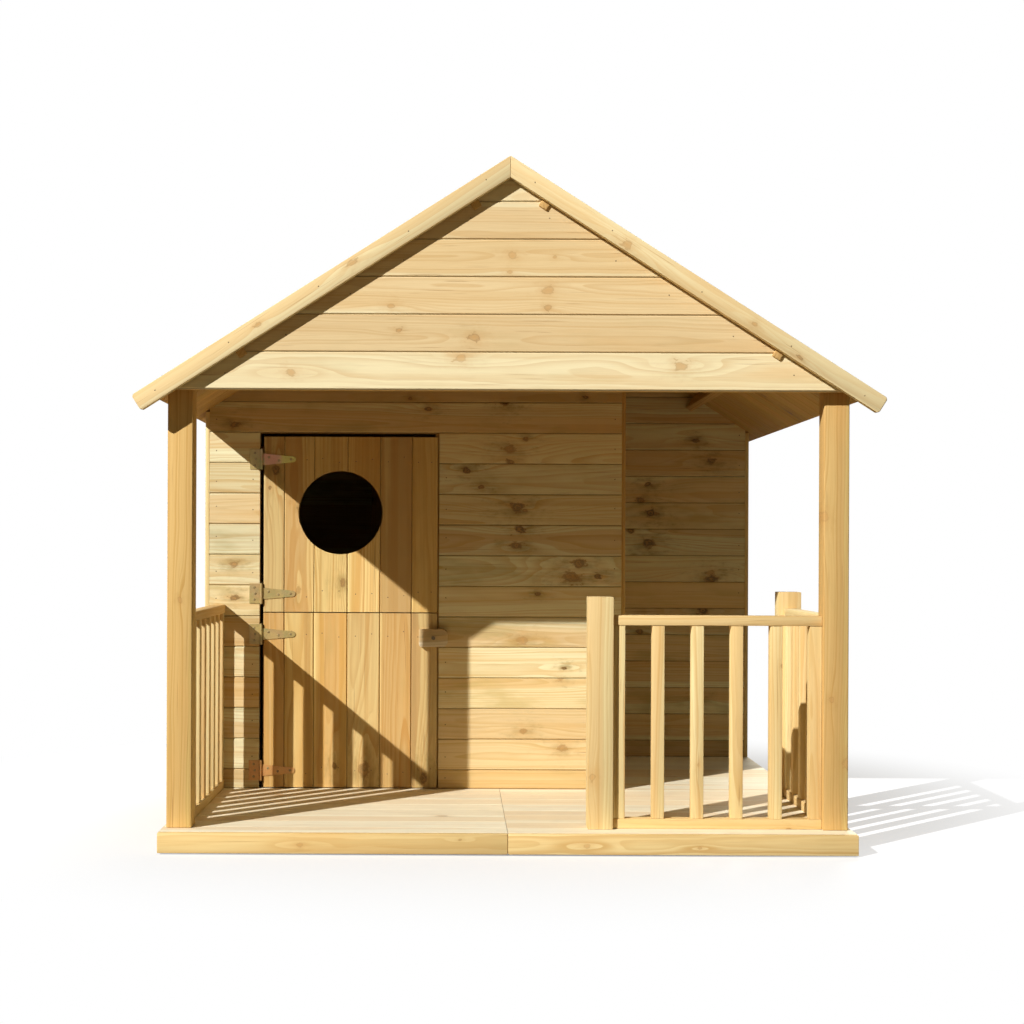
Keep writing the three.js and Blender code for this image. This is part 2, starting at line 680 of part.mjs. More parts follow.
function strap(z) {
  const root = hingeAxisX + knuckleStart;
  const tip = root + strapLength;
  const shape = new THREE.Shape();
  shape.moveTo(root, z - strapRoot / 2);
  shape.lineTo(tip - strapTip / 2, z - strapTip / 2);
  shape.absarc(tip - strapTip / 2, z, strapTip / 2, -Math.PI / 2, Math.PI / 2, false);
  shape.lineTo(root, z + strapRoot / 2);
  const zs = [z - strapKnuckle, z + strapKnuckle];
  const neck = block([hingeAxisX, root + hingeMetal], [hingeFront, hingeBack], zs);
  const roll = cylinder("z", hingeAxis, knuckleRadius, ...zs);
  return swept("y", shape, hingeFront, hingeBack).add(neck).add(roll).subtract(pinBore(zs));
}

function hingePin(z) {
  const end = knuckleOuter + fitGap;
  const shank = cylinder("z", hingeAxis, pinRadius, z - end, z + end);
  const heads = [z - end - pinHeadHeight, z + end].map((low) =>
    cylinder("z", hingeAxis, pinHeadRadius, low, low + pinHeadHeight));
  return joined([shank, ...heads]);
}

for (const [name, z] of Object.entries(hingeHeights)) {
  addPiece(`hinge_crossplate_${name}`, materials.zinc, crossplate(z));
  addPiece(`hinge_strap_${name}`, materials.zinc, strap(z));
  addPiece(`hinge_pin_${name}`, materials.steel, hingePin(z));
}

// Turn button and its screw, on the lower leaf beside the latch edge
const buttonBack = frontWallFace - buttonStandoff;
const buttonFront = buttonBack - buttonThickness;

function turnButton() {
  const half = buttonWidth / 2;
  const quarter = Math.PI / 2;
  const left = screwX - buttonLength / 2;
  const right = screwX + buttonLength / 2;
  const low = screwZ - half + buttonCorner;
  const nose = half - buttonNose;
  const shape = new THREE.Shape();
  shape.moveTo(left + buttonCorner, screwZ - half);
  shape.lineTo(right - buttonNose, screwZ - half);
  shape.absarc(right - buttonNose, screwZ - nose, buttonNose, -quarter, 0, false);
  shape.absarc(right - buttonNose, screwZ + nose, buttonNose, 0, quarter, false);
  shape.lineTo(left, screwZ + half);
  shape.lineTo(left, low);
  shape.absarc(left + buttonCorner, low, buttonCorner, Math.PI, Math.PI + quarter, false);
  const hole = cylinder("y", [screwX, screwZ], screwRadius + screwClearance,
    buttonFront - cutOverrun, buttonBack + cutOverrun);
  return swept("y", shape, buttonFront, buttonBack).subtract(hole);
}

function turnButtonScrew() {
  const at = [screwX, screwZ];
  const seat = buttonFront - fitGap;
  const shank = cylinder("y", at, screwRadius, seat, leafYs[1] - screwTip);
  const head = cylinder("y", at, screwHeadRadius, seat - screwHeadHeight, seat);
  return shank.add(head);
}

addPiece("turn_button", materials.weathered, turnButton());
addPiece("turn_button_screw", materials.steel, turnButtonScrew());

export default playhouse;
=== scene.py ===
"""Looks of the wooden playhouse: its boards and timbers one by one, their grain, hinges, nails and light."""
import json
import math
import random
from types import SimpleNamespace

import bmesh
import bpy
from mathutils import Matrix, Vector

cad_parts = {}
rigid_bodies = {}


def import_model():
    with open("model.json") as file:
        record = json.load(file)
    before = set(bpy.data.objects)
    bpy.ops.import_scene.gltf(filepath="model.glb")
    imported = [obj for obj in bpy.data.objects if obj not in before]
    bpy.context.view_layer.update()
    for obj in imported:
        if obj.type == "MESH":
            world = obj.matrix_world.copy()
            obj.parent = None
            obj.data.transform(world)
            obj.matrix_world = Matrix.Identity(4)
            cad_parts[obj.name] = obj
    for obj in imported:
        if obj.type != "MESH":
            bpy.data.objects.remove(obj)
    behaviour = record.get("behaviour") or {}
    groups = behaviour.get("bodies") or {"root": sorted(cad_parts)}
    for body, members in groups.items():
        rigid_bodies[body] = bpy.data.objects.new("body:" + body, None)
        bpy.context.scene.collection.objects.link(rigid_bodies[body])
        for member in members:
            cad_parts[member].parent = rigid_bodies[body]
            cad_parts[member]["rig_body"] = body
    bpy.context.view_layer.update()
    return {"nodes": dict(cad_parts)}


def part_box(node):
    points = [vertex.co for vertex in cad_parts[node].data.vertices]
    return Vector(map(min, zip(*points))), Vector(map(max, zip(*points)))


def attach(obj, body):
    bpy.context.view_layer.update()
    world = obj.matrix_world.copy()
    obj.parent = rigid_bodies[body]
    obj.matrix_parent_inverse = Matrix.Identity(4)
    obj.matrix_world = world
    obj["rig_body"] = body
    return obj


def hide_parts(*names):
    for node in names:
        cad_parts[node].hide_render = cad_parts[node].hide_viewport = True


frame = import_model()
nodes = frame["nodes"]

# Sizes that the boards repeat from the CAD model, in metres
ROOF_PITCH = math.radians(32.5)
SLOPE = math.tan(ROOF_PITCH)
SQUARE_TO_SLOPE = 1 / math.cos(ROOF_PITCH)
RIDGE = max(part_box(f"front_bargeboard_{side}")[1].z for side in ("left", "right"))
GAP = 0.0003
WALL_COVER = 0.0892
LOWEST_COVER = 0.055
GABLE_COVER = 0.093
FLOOR_COVER = 0.095
ROOF_COVER = 0.091
ROOF_BOARD = 0.016
ROOF_DROP = 0.001
UNDER_BOARDS = ROOF_DROP + ROOF_BOARD + GAP  # from the roof's top down to what fits under its boards
SLOPING_PLATE = 0.07  # from the roof's top down to the lower edge of a frame's sloping plates
STUD = 0.04
BATTEN_WIDTH = 0.022
BATTEN_DEPTH = 0.045
BARGE_DEPTH = 0.0445
BARGE_CORNER = 0.005
LEAF_BATTEN = 0.055

# Edges: the chamfer at a board's joint, and the rounding of timbers
JOINT = 0.003
FLOOR_JOINT = 0.0012
EASED = 0.0018
WELL_EASED = 0.003
SHARP_ANGLE = math.radians(38)
BEVEL = {"affect": "EDGES", "clamp_overlap": True}

# How a board was cut from its log: how far from the pith, and how far its grain runs out of it
GRAIN_START = 20.0
PITH_NEAR = 0.012
PITH_FAR = 0.07
PITH_SIDE = 0.04
GRAIN_RUN_OUT = 0.02

# Knots: how many a board can hold, their size, and a place far off for one that isn't there
KNOT_SLOTS = 3
KNOT_SMALL = 0.003
KNOT_LARGE = 0.012
KNOT_WIDEST_SHARE = 0.45  # of half the board's width
NO_KNOT = (Vector((-1000, 0, 0.0001)), 0.0)
KNOT_LAYERS = tuple(f"knot_{i}" for i in range(KNOT_SLOTS))

X_AXIS = Vector((1, 0, 0))
Y_AXIS = Vector((0, 1, 0))
Z_AXIS = Vector((0, 0, 1))
FRONT = Vector((0, -1, 0))
SIDES = {"left": -1, "right": 1}

# An edge runs along the grain if the product of their directions is over the first of these, and a face looks
# across the grain if that is under the second
ALONG_GRAIN = 0.95
ACROSS_GRAIN = 0.5

# Camera: level, square to the front, with the picture's centre to the side and above
CAMERA_PLACE = (-0.135, -5.103, 0.75)
CAMERA_ROLL = math.radians(-0.24)
CAMERA_SHIFT = (0.0566, 0.0366)
LENS = 58.54
SENSOR = 36
FARTHEST = 100
PHOTO = 1024  # pixels along each side


def roof_top(x, below=0.0):
    return RIDGE - SLOPE * abs(x) - below * SQUARE_TO_SLOPE


def down_slope(sign):
    return Vector((sign * math.cos(ROOF_PITCH), 0, -math.sin(ROOF_PITCH)))


def square_to_slope(sign):
    return Vector((sign * math.sin(ROOF_PITCH), 0, math.cos(ROOF_PITCH)))


def add_object(name, data):
    made = bpy.data.objects.new(name, data)
    bpy.context.scene.collection.objects.link(made)
    return made


def add_camera():
    data = bpy.data.cameras.new("camera")
    data.lens = LENS
    data.sensor_width = SENSOR
    data.shift_x, data.shift_y = CAMERA_SHIFT
    data.clip_end = FARTHEST
    camera = add_object("camera", data)
    camera.location = CAMERA_PLACE
    camera.rotation_euler = (math.radians(90), CAMERA_ROLL, 0)
    bpy.context.scene.camera = camera


add_camera()


def seen_at(right, down, depth):
    """What the photo's pixel shows of the upright plane at this depth: how far across and how high."""
    pixel = SENSOR / LENS / PHOTO * (depth - CAMERA_PLACE[1])
    right -= PHOTO * (0.5 - CAMERA_SHIFT[0])
    up = PHOTO * (0.5 + CAMERA_SHIFT[1]) - down
    cos, sin = math.cos(CAMERA_ROLL), math.sin(CAMERA_ROLL)
    return (CAMERA_PLACE[0] + pixel * (right * cos + up * sin),
            CAMERA_PLACE[2] + pixel * (up * cos - right * sin))


# Boards
def clip(outline, px, pq, nx, nq):
    """What a cut along the line through (px, pq) leaves of a convex outline. (nx, nq) points to what goes."""
    side = [(x - px) * nx + (q - pq) * nq for x, q in outline]
    kept = []
    for i, (x, q) in enumerate(outline):
        j = (i + 1) % len(outline)
        if side[i] <= 0:
            kept.append((x, q))
        if (side[i] < 0 < side[j]) or (side[j] < 0 < side[i]):
            t = side[i] / (side[i] - side[j])
            kept.append((x + t * (outline[j][0] - x), q + t * (outline[j][1] - q)))
    return kept


def under_roof(outline, below=UNDER_BOARDS):
    for sign in SIDES.values():
        outline = clip(outline, 0, roof_top(0, below), sign * SLOPE, 1)
    return outline


def rectangle(x0, x1, q0, q1):
    return [(x0, q0), (x1, q0), (x1, q1), (x0, q1)]


# Knots that the photo shows: how many of its pixels right and down, radius in metres and how dark
KNOTS = {
    "gable_boards": (
        (512.4, 256, 0.009, 0.25), (510, 272, 0.006, 0.35), (548.6, 290, 0.01, 0.35), (548, 308, 0.007, 0.6),
        (391, 306, 0.009, 0.4), (399, 330.5, 0.006, 0.7), (460.7, 358, 0.011, 0.2), (680.8, 366, 0.012, 0.45),
        (290.8, 372, 0.009, 0.3), (676, 300, 0.007, 0.5),
    ),
    "front_wall_boards": (
        (410, 398.5, 0.006, 0.7), (428.5, 408.7, 0.008, 0.8), (586, 397.6, 0.006, 0.9), (234, 425, 0.01, 0.8),
        (509.6, 449.5, 0.014, 0.55), (510.5, 462.4, 0.01, 0.7), (466.5, 470.3, 0.011, 0.9),
        (481.8, 487, 0.008, 0.8), (518, 507.4, 0.016, 0.8), (519.8, 529.1, 0.012, 0.9),
        (516, 545.8, 0.013, 0.75), (579, 563, 0.016, 0.75), (570.7, 576.8, 0.02, 0.65),
        (597.6, 575.9, 0.01, 0.85), (537.5, 594, 0.006, 0.8), (522.5, 640.3, 0.013, 0.4),
        (564, 668, 0.006, 0.9), (561, 678.5, 0.007, 0.4), (523.5, 731, 0.01, 0.5), (562.8, 748, 0.011, 0.45),
        (234, 564, 0.01, 0.6), (234, 597.7, 0.009, 0.7),
    ),
    "recess_wall_boards": (
        (696, 440.6, 0.009, 0.9), (711.6, 460.8, 0.013, 0.8), (648, 484, 0.01, 0.9), (641, 501, 0.013, 0.8),
        (651, 513, 0.015, 0.95), (630.7, 530.6, 0.01, 0.8), (648, 543, 0.018, 0.9),
        (711.6, 578.7, 0.016, 0.85), (703, 610.7, 0.016, 0.9), (640, 632, 0.01, 0.8), (700, 700, 0.01, 0.7),
    ),
    "upper_leaf_boards": ((276, 470, 0.013, 0.9), (270, 488, 0.006, 0.8), (298, 590, 0.009, 0.4)),
    "lower_leaf_boards": ((363.3, 769.9, 0.019, 0.75), (334.3, 766, 0.009, 0.8), (423.3, 779, 0.014, 0.9)),
    "right_post_timber": ((825.4, 516.4, 0.01, 0.35), (832, 700, 0.006, 0.4)),
    "left_post_timber": ((180, 600, 0.006, 0.4),),
    "front_newel_timber": ((592.7, 777.4, 0.009, 0.35),),
    "front_bargeboard_left_timber": ((352, 263, 0.009, 0.5), (258.5, 324.3, 0.006, 0.5)),
    "front_bargeboard_right_timber": ((627.4, 244.3, 0.01, 0.45), (755, 324, 0.006, 0.4)),
    "fascia_right": ((587, 846, 0.006, 0.25), (700, 848, 0.004, 0.4)),
    "fascia_left": ((300, 845, 0.006, 0.3), (460, 840, 0.003, 0.6)),
}

PLANES = {
    "xz": (X_AXIS, Z_AXIS, Y_AXIS),
    "yz": (Y_AXIS, Z_AXIS, X_AXIS),
    "xy": (X_AXIS, Y_AXIS, Z_AXIS),
}


def smooth_mesh(gathered, material, sharp_angle):
    mesh = bpy.data.meshes.new(gathered.name)
    mesh.from_pydata([tuple(p) for p in gathered.points], [], gathered.faces)
    mesh.shade_smooth()
    mesh.set_sharp_from_angle(angle=sharp_angle)
    mesh.materials.append(material)
    return mesh


class Timbers:
    """Boards and timbers gathered in one mesh. Each point keeps its place in its own board's grain, and each
    board keeps up to three knots: those that KNOTS gives for the piece, then some at random."""

    def __init__(self, name, seed, knot_rate=0.35):
        self.name = name
        self.rng = random.Random(seed)
        self.knot_rate = knot_rate
        self.points = []
        self.faces = []
        self.vectors = {key: [] for key in ("grain", "board", "dark", *KNOT_LAYERS)}
        self.groove = []

    def add(self, plane, outline, depth, grain, edge=EASED, steps=2, joint=0.0, both=False, cut=None):
        """An outline in a plane, drawn out over depth = (visible face, back). joint chamfers the long edges
        of the face, and of the back too with both. Without it all edges are rounded by edge."""
        axes = PLANES[plane] if isinstance(plane, str) else plane
        d_axis = axes[2]
        body = self.drawn_out(axes, outline, depth)
        if cut:
            self.bisect(body, *cut)
        bmesh.ops.recalc_face_normals(body, faces=body.faces)
        if joint:
            long_edges = self.long_edges(body, d_axis, depth if both else depth[:1], grain)
            bmesh.ops.bevel(body, geom=long_edges, offset=joint, segments=1, **BEVEL)
        else:
            bmesh.ops.bevel(body, geom=list(body.edges), offset=edge, segments=steps, profile=0.5, **BEVEL)
        for v in body.verts:
            # Points beside a joint are marked for the groove's darkening: dirt, and painted shade in the
            # groove
            beside_joint = joint and min(abs(v.co.dot(d_axis) - level) for level in depth) > GAP
            self.groove.append(float(bool(beside_joint)))
        self.keep(body, grain, d_axis)
        body.free()

    @staticmethod
    def drawn_out(axes, outline, depth):
        """A closed body with the outline at both depths."""
        p_axis, q_axis, d_axis = axes
        body = bmesh.new()
        rings = [[body.verts.new(p_axis * p + q_axis * q + d_axis * d) for p, q in outline] for d in depth]
        front, rear = rings
        body.faces.new(front)
        body.faces.new(rear[::-1])
        for i in range(len(outline)):
            j = (i + 1) % len(outline)
            body.faces.new((front[i], rear[i], rear[j], front[j]))
        return body

    @staticmethod
    def long_edges(body, d_axis, levels, grain):
        """Edges that run along the grain at one of the levels."""
        found = []
        for edge in body.edges:
            start, end = (v.co for v in edge.verts)
            offsets = [max(abs(p.dot(d_axis) - level) for p in (start, end)) for level in levels]
            if min(offsets) < GAP and abs((end - start).normalized().dot(grain)) > ALONG_GRAIN:
                found.append(edge)
        return found

    @staticmethod
    def bisect(body, point, normal):
        geometry = list(body.verts) + list(body.edges) + list(body.faces)
        done = bmesh.ops.bisect_plane(body, geom=geometry, plane_co=point, plane_no=normal, clear_outer=True)
        rim = [g for g in done["geom_cut"] if isinstance(g, bmesh.types.BMEdge)]
        bmesh.ops.contextual_create(body, geom=rim)

    def keep(self, body, grain, d_axis):
        """Adds a board's points and faces, with a place in its log and knots of its own."""
        along = grain.normalized()
        outward = d_axis if abs(d_axis.dot(along)) < ACROSS_GRAIN else along.orthogonal().normalized()
        across = outward.cross(along).normalized()
        middle = sum((v.co for v in body.verts), Vector()) / len(body.verts)
        rng = self.rng
        start = rng.uniform(-GRAIN_START, GRAIN_START)
        side_start = rng.uniform(-GRAIN_START, GRAIN_START)
        pith = Vector((0, rng.uniform(-PITH_SIDE, PITH_SIDE), rng.uniform(PITH_NEAR, PITH_FAR)))
        run_out = Vector((0, rng.uniform(-1, 1), rng.uniform(-1, 1))) * GRAIN_RUN_OUT
        tone, tint = rng.random(), rng.random()
        reach = max(abs((v.co - middle).dot(along)) for v in body.verts)
        width = max(abs((v.co - middle).dot(across)) for v in body.verts)
        front = min(v.co.y for v in body.verts)
        knots = self.knots_here(middle, front, along, across, reach, width)
        first = len(self.points)
        for v in body.verts:
            p = v.co - middle
            u = p.dot(along)
            place = Vector((start + u, p.dot(across), p.dot(outward))) + pith + run_out * u
            self.points.append(v.co.copy())
            self.vectors["grain"].append(place)
            self.vectors["board"].append(Vector((tone, tint, side_start + p.dot(across))))
            self.vectors["dark"].append(Vector([dark for _, dark in knots]))
            for layer, (spot, _) in zip(KNOT_LAYERS, knots):
                self.vectors[layer].append(spot + Vector((start, side_start, 0)))
        body.verts.index_update()
        self.faces.extend([[first + v.index for v in f.verts] for f in body.faces])

    def knots_here(self, middle, front, along, across, reach, width):
        """Each knot as (place along and across from the board's middle, radius) and how dark it is."""
        rng = self.rng
        knots = []
        for right, down, radius, dark in KNOTS.get(self.name, ()):
            x, z = seen_at(right, down, front)
            place = Vector((x, middle.y, z))
            u, v = (place - middle).dot(along), (place - middle).dot(across)
            if abs(u) < reach and abs(v) < width:
                knots.append((Vector((u, v, radius)), dark))
        largest = min(KNOT_LARGE, KNOT_WIDEST_SHARE * width)
        for _ in range(KNOT_SLOTS):
            place = rng.uniform(-reach, reach), rng.uniform(-width, width)
            spot = Vector((*place, rng.uniform(KNOT_SMALL, largest)))
            dark, chance = rng.random(), rng.random()
            if chance * KNOT_SLOTS < self.knot_rate * 2 * reach:
                knots.append((spot, dark))
        return (knots + [NO_KNOT] * KNOT_SLOTS)[:KNOT_SLOTS]

    def box(self, low, high, grain, face="y"):
        """A square timber between two corners. face = the axis that its visible face looks along."""
        plane, across, deep = {"y": ("xz", 0, 1), "x": ("yz", 1, 0)}[face]
        outline = rectangle(low[across], high[across], low[2], high[2])
        self.add(plane, outline, (low[deep], high[deep]), grain)

    def finish(self, material, node):
        """The mesh in the scene, in the node's place: on its body and in its material's slot."""
        mesh = smooth_mesh(self, material, SHARP_ANGLE)
        for key, values in self.vectors.items():
            layer = mesh.attributes.new(key, "FLOAT_VECTOR", "POINT")
            layer.data.foreach_set("vector", [c for v in values for c in v])
        mesh.attributes.new("groove", "FLOAT", "POINT").data.foreach_set("value", self.groove)
        piece = add_object(self.name, mesh)
        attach(piece, nodes[node]["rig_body"])
        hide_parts(node)


# Shader helpers
def srgb(red, green, blue):
    channels = [c / 255 for c in (red, green, blue)]
    linear = [c / 12.92 if c <= 0.04045 else ((c + 0.055) / 1.055) ** 2.4 for c in channels]
    return (*linear, 1.0)


class Graph:
    """Short calls for shader nodes. An argument is a socket or a plain value."""

    def __init__(self, tree):
        self.tree = tree

    def node(self, kind, inputs=(), **settings):
        made = self.tree.nodes.new(kind)
        for key, value in settings.items():
            setattr(made, key, value)
        for key, value in dict(inputs).items():
            self.feed(made.inputs[key], value)
        return made

    def feed(self, socket, value):
        if isinstance(value, bpy.types.NodeSocket):
            self.tree.links.new(value, socket)
        else:
            socket.default_value = value

    def math(self, operation, *values, clamp=False):
        made = self.node("ShaderNodeMath", operation=operation, use_clamp=clamp)
        for i, value in enumerate(values):
            self.feed(made.inputs[i], value)
        return made.outputs[0]

    def times(self, a, b):
        return self.math("MULTIPLY", a, b)

    def plus(self, a, b):
        return self.math("ADD", a, b)

    def minus(self, a, b):
        return self.math("SUBTRACT", a, b)

    def greatest(self, a, b):
        return self.math("MAXIMUM", a, b)

    def vector(self, x, y, z):
        return self.node("ShaderNodeCombineXYZ", {"X": x, "Y": y, "Z": z}).outputs[0]

    def split(self, vector):
        return tuple(self.node("ShaderNodeSeparateXYZ", {"Vector": vector}).outputs)

    def mix(self, factor, a, b, blend="MIX"):
        made = self.node("ShaderNodeMix", {"Factor": factor}, data_type="RGBA", blend_type=blend)
        for socket, value in zip((s for s in made.inputs if s.type == "RGBA"), (a, b)):
            self.feed(socket, value)
        return next(s for s in made.outputs if s.type == "RGBA")

    def noise(self, vector, scale=1.0, detail=2.0, roughness=0.5, dimensions="3D"):
        place = "W" if dimensions == "1D" else "Vector"
        inputs = {place: vector, "Scale": scale, "Detail": detail, "Roughness": roughness}
        return self.node("ShaderNodeTexNoise", inputs, noise_dimensions=dimensions).outputs["Fac"]

    def grey(self, value):
        return self.node("ShaderNodeCombineColor", {k: value for k in ("Red", "Green", "Blue")}).outputs[0]

    def remap(self, value, low, high, to_low=0.0, to_high=1.0, smooth=True):
        kind = "SMOOTHSTEP" if smooth else "LINEAR"
        inputs = {"Value": value, "From Min": low, "From Max": high, "To Min": to_low, "To Max": to_high}
        return self.node("ShaderNodeMapRange", inputs, interpolation_type=kind).outputs["Result"]

    def surface(self, inputs):
        shader = self.node("ShaderNodeBsdfPrincipled", inputs)
        self.node("ShaderNodeOutputMaterial", {"Surface": shader.outputs[0]})


def new_material(name):
    """A material and the graph that fills its empty node tree."""
    material = bpy.data.materials.new(name)
    material.use_nodes = True
    material.node_tree.nodes.clear()
    return material, Graph(material.node_tree)


# Wood: growth rings about each board's own pith, heartwood, knots, fibres and stains
RING = 0.0068
KNOT_LENGTH = 1.5
KNOT_HALO = 1.9
KNOT_STAIN = 3.0
KNOT_LIFT = 1.5
FLAME_LENGTH = 7.0
FLAME_WIDTH = 1.6
HEART = srgb(222, 178, 116)
GREYED = srgb(186, 156, 108)
GOLDEN = srgb(234, 188, 104)
BAND_BROWN = srgb(184, 142, 90)
BAND_GOLD = srgb(214, 164, 82)
TAN = srgb(226, 172, 98)
OLIVE = srgb(170, 156, 96)
RESIN = srgb(150, 98, 52)
KNOT_BROWN = srgb(204, 150, 84)
KNOT_STAINED = srgb(116, 104, 52)
KNOT_PALE = srgb(212, 166, 104)
KNOT_DARK = srgb(72, 60, 36)
KNOT_RIM = srgb(112, 76, 40)
SOILED = srgb(150, 124, 86)
# Dirt and painted shade in the grooves between boards
GROOVE_DIRT_AND_SHADE = srgb(84, 58, 26)

# What a wood is unless it says otherwise. contrast is how strong the rings are, stain how dark knots get,
# variety how far some boards are greyer or more golden, bands how strong broad streaks are, tone_range how
# far a board can be darker than the next, and sawn how far its fibres stand up
USUAL_WOOD = {
    "contrast": 0.7, "heartwood": HEART, "olive": 0.3, "tan": 0.3, "stain": 0.5, "variety": 0.15,
    "bands": 0.2, "dirt": 0.0, "tone_range": 0.16, "roughness": 0.64, "bump": 0.35, "sawn": 0.0,
}


class Wood:
    """A board's own coordinates in a material's graph, and noise that runs with its fibres."""

    def __init__(self, g):
        self.g = g
        self.along, self.y, self.z = self.attribute("grain")
        self.tone, self.tint, self.across = self.attribute("board")
        self.fibre = self.noise(14, 1000, detail=3.0, roughness=0.65)
        self.streak = self.noise(2.0, 110, detail=3.0, roughness=0.6)
        self.vein = self.noise(3.2, 300, detail=1.0)

    def attribute(self, name):
        return self.g.split(self.g.node("ShaderNodeAttribute", attribute_name=name).outputs["Vector"])

    def noise(self, run, girth, **settings):
        g = self.g
        place = g.vector(g.times(self.along, run), g.times(self.y, girth), g.times(self.z, girth))
        return g.noise(place, **settings)

    def wave(self, run, girth, depth):
        return self.g.times(self.g.minus(self.noise(run, girth), 0.5), depth)


def add_knots(g, wood):
    """The board's knots: their cores, how deep in colour those are, the halo and stain about them, the flame
    that runs from them along the board, and how far they lift the rings."""

    def fading(share, width):
        return g.math("EXPONENT", g.times(g.math("POWER", g.math("DIVIDE", share, width), 2.0), -1.0))

    wobble = wood.noise(45, 85, detail=4.0, roughness=0.65)
    wobble = g.remap(wobble, 0.25, 0.75, 0.4, 1.9, smooth=False)
    core = deep = halo = stain = flame = lift = 0.0
    for layer, darkness in zip(KNOT_LAYERS, wood.attribute("dark")):
        x, y, radius = wood.attribute(layer)
        du = g.math("DIVIDE", g.minus(wood.along, x), radius)
        dv = g.math("DIVIDE", g.minus(wood.across, y), radius)

        def share(length):
            run = g.math("DIVIDE", du, length)
            return g.math("SQRT", g.plus(g.times(run, run), g.times(dv, dv)))

        near = g.times(share(KNOT_LENGTH), wobble)
        inside = g.remap(near, 1.1, 0.62)
        field = fading(share(FLAME_LENGTH), FLAME_WIDTH)
        core = g.greatest(core, inside)
        deep = g.greatest(deep, g.times(inside, darkness))
        halo = g.greatest(halo, fading(near, KNOT_HALO))
        stain = g.greatest(stain, g.times(fading(near, KNOT_STAIN), darkness))
        flame = g.greatest(flame, field)
        lift = g.plus(lift, g.times(field, radius))
    lift = g.times(lift, KNOT_LIFT)
    return SimpleNamespace(core=core, deep=deep, halo=halo, stain=stain, flame=flame, lift=lift)


def from_pith(g, wood, lift):
    """How far a place is from the board's pith, with the bends of the rings."""
    reach = g.math("SQRT", g.plus(g.times(wood.y, wood.y), g.times(wood.z, wood.z)))
    for bend in (wood.wave(1.2, 6, 0.036), wood.wave(5, 24, 0.008), lift):
        reach = g.plus(reach, bend)
    return reach


def growth_rings(g, reach, contrast):
    """Rings that darken slowly and end sharply, each with its own width and strength."""
    pace = g.noise(g.times(reach, 42), detail=1.0, dimensions="1D")
    phase = g.plus(g.math("DIVIDE", reach, RING), g.times(pace, 2.2))
    turn = g.math("FRACT", phase)
    own = g.node("ShaderNodeTexWhiteNoise", {"W": g.math("FLOOR", phase)}, noise_dimensions="1D")
    strength = g.plus(g.times(g.math("POWER", own.outputs["Value"], 1.6), 0.85), 0.15)
    ring = g.times(g.remap(turn, 0.15, 0.92), g.remap(turn, 1.0, 0.93))
    return g.math("MULTIPLY", ring, g.times(strength, contrast), clamp=True)


def clear_color(g, wood, look, early, late, reach, ring):
    """Colour of the wood between the knots: heartwood, rings, streaks, stains and each board's own tone."""
    heart_edge = g.remap(g.math("FRACT", g.times(wood.tint, 7.0)), 0.0, 1.0, 0.012, 0.085, smooth=False)
    heart = g.remap(g.minus(reach, heart_edge), 0.004, -0.002)
    color = g.mix(g.times(heart, look.contrast * 0.75), early, look.heartwood)
    color = g.mix(ring, color, late)
    color = g.mix(g.remap(wood.streak, 0.46, 0.8, 0.0, 0.5 * look.contrast), color, late)
    band = g.remap(wood.noise(0.5, 34), 0.52, 0.62, 0.0, look.bands)
    color = g.mix(band, color, g.mix(wood.tone, BAND_BROWN, BAND_GOLD))
    color = g.mix(g.remap(wood.noise(1.8, 13, detail=3.0), 0.5, 0.74, 0.0, look.tan), color, TAN)
    cloud = g.remap(wood.noise(2.6, 9, scale=1.7, detail=3.0, roughness=0.6), 0.46, 0.7, 0.0, look.olive)
    color = g.mix(g.times(cloud, g.remap(wood.tint, 0.1, 0.75)), color, OLIVE)
    color = g.mix(g.remap(wood.vein, 0.69, 0.78, 0.0, 0.5), color, RESIN)
    for turns, other in ((3.7, GREYED), (5.3, GOLDEN)):
        own = g.math("FRACT", g.times(wood.tint, turns))
        color = g.mix(g.remap(own, 0.45, 1.0, 0.0, look.variety), color, other)
    shade = g.remap(wood.tone, 0.0, 1.0, 1.0 - look.tone_range, 1.0, smooth=False)
    shade = g.times(shade, g.remap(wood.fibre, 0.3, 0.75, 0.94, 1.03, smooth=False))
    return g.mix(1.0, color, g.grey(shade), "MULTIPLY")


def knotty_color(g, wood, color, late, ring, knots, stain):
    """The same with its knots: flames along the board, halo, stain, turned core and rim."""
    color = g.mix(g.times(g.times(knots.flame, ring), 0.5), color, late)
    color = g.mix(g.times(knots.halo, 0.3), color, KNOT_BROWN)
    smear = g.times(knots.stain, g.remap(wood.noise(16, 60, detail=3.0), 0.35, 0.65, 0.1, 1.0))
    color = g.mix(g.times(smear, stain), color, KNOT_STAINED)
    core_color = g.mix(knots.deep, KNOT_PALE, KNOT_DARK)
    turned = g.math("SINE", g.times(g.plus(knots.halo, wood.wave(90, 140, 0.3)), 40.0))
    core_color = g.mix(g.remap(turned, 0.0, 1.0, 0.0, 0.45), core_color, KNOT_BROWN)
    color = g.mix(g.times(knots.core, g.remap(knots.deep, 0.0, 1.0, 0.45, 0.92)), color, core_color)
    rim = g.times(g.times(knots.core, g.minus(1.0, knots.core)), 2.6)
    return g.mix(g.times(rim, g.remap(knots.stain, 0.2, 0.9, 0.25, 0.7)), color, KNOT_RIM)


def dirt_and_groove_shade_color(g, wood, color, dirt):
    """The same with worn patches on the faces, and in the grooves between boards a darkening that is partly
    dirt and partly painted shade.
    """
    if dirt:
        worn = g.noise(g.vector(g.times(wood.along, 7), g.times(wood.across, 16), 0.0), detail=4.0)
        color = g.mix(g.remap(worn, 0.5, 0.82, 0.0, dirt), color, SOILED)
    # Darker towards each groove's bottom: dirt, and painted shade in the V of the joint
    groove = g.node("ShaderNodeAttribute", attribute_name="groove").outputs["Fac"]
    return g.mix(g.times(g.math("POWER", groove, 3.0), 0.85), color, GROOVE_DIRT_AND_SHADE)


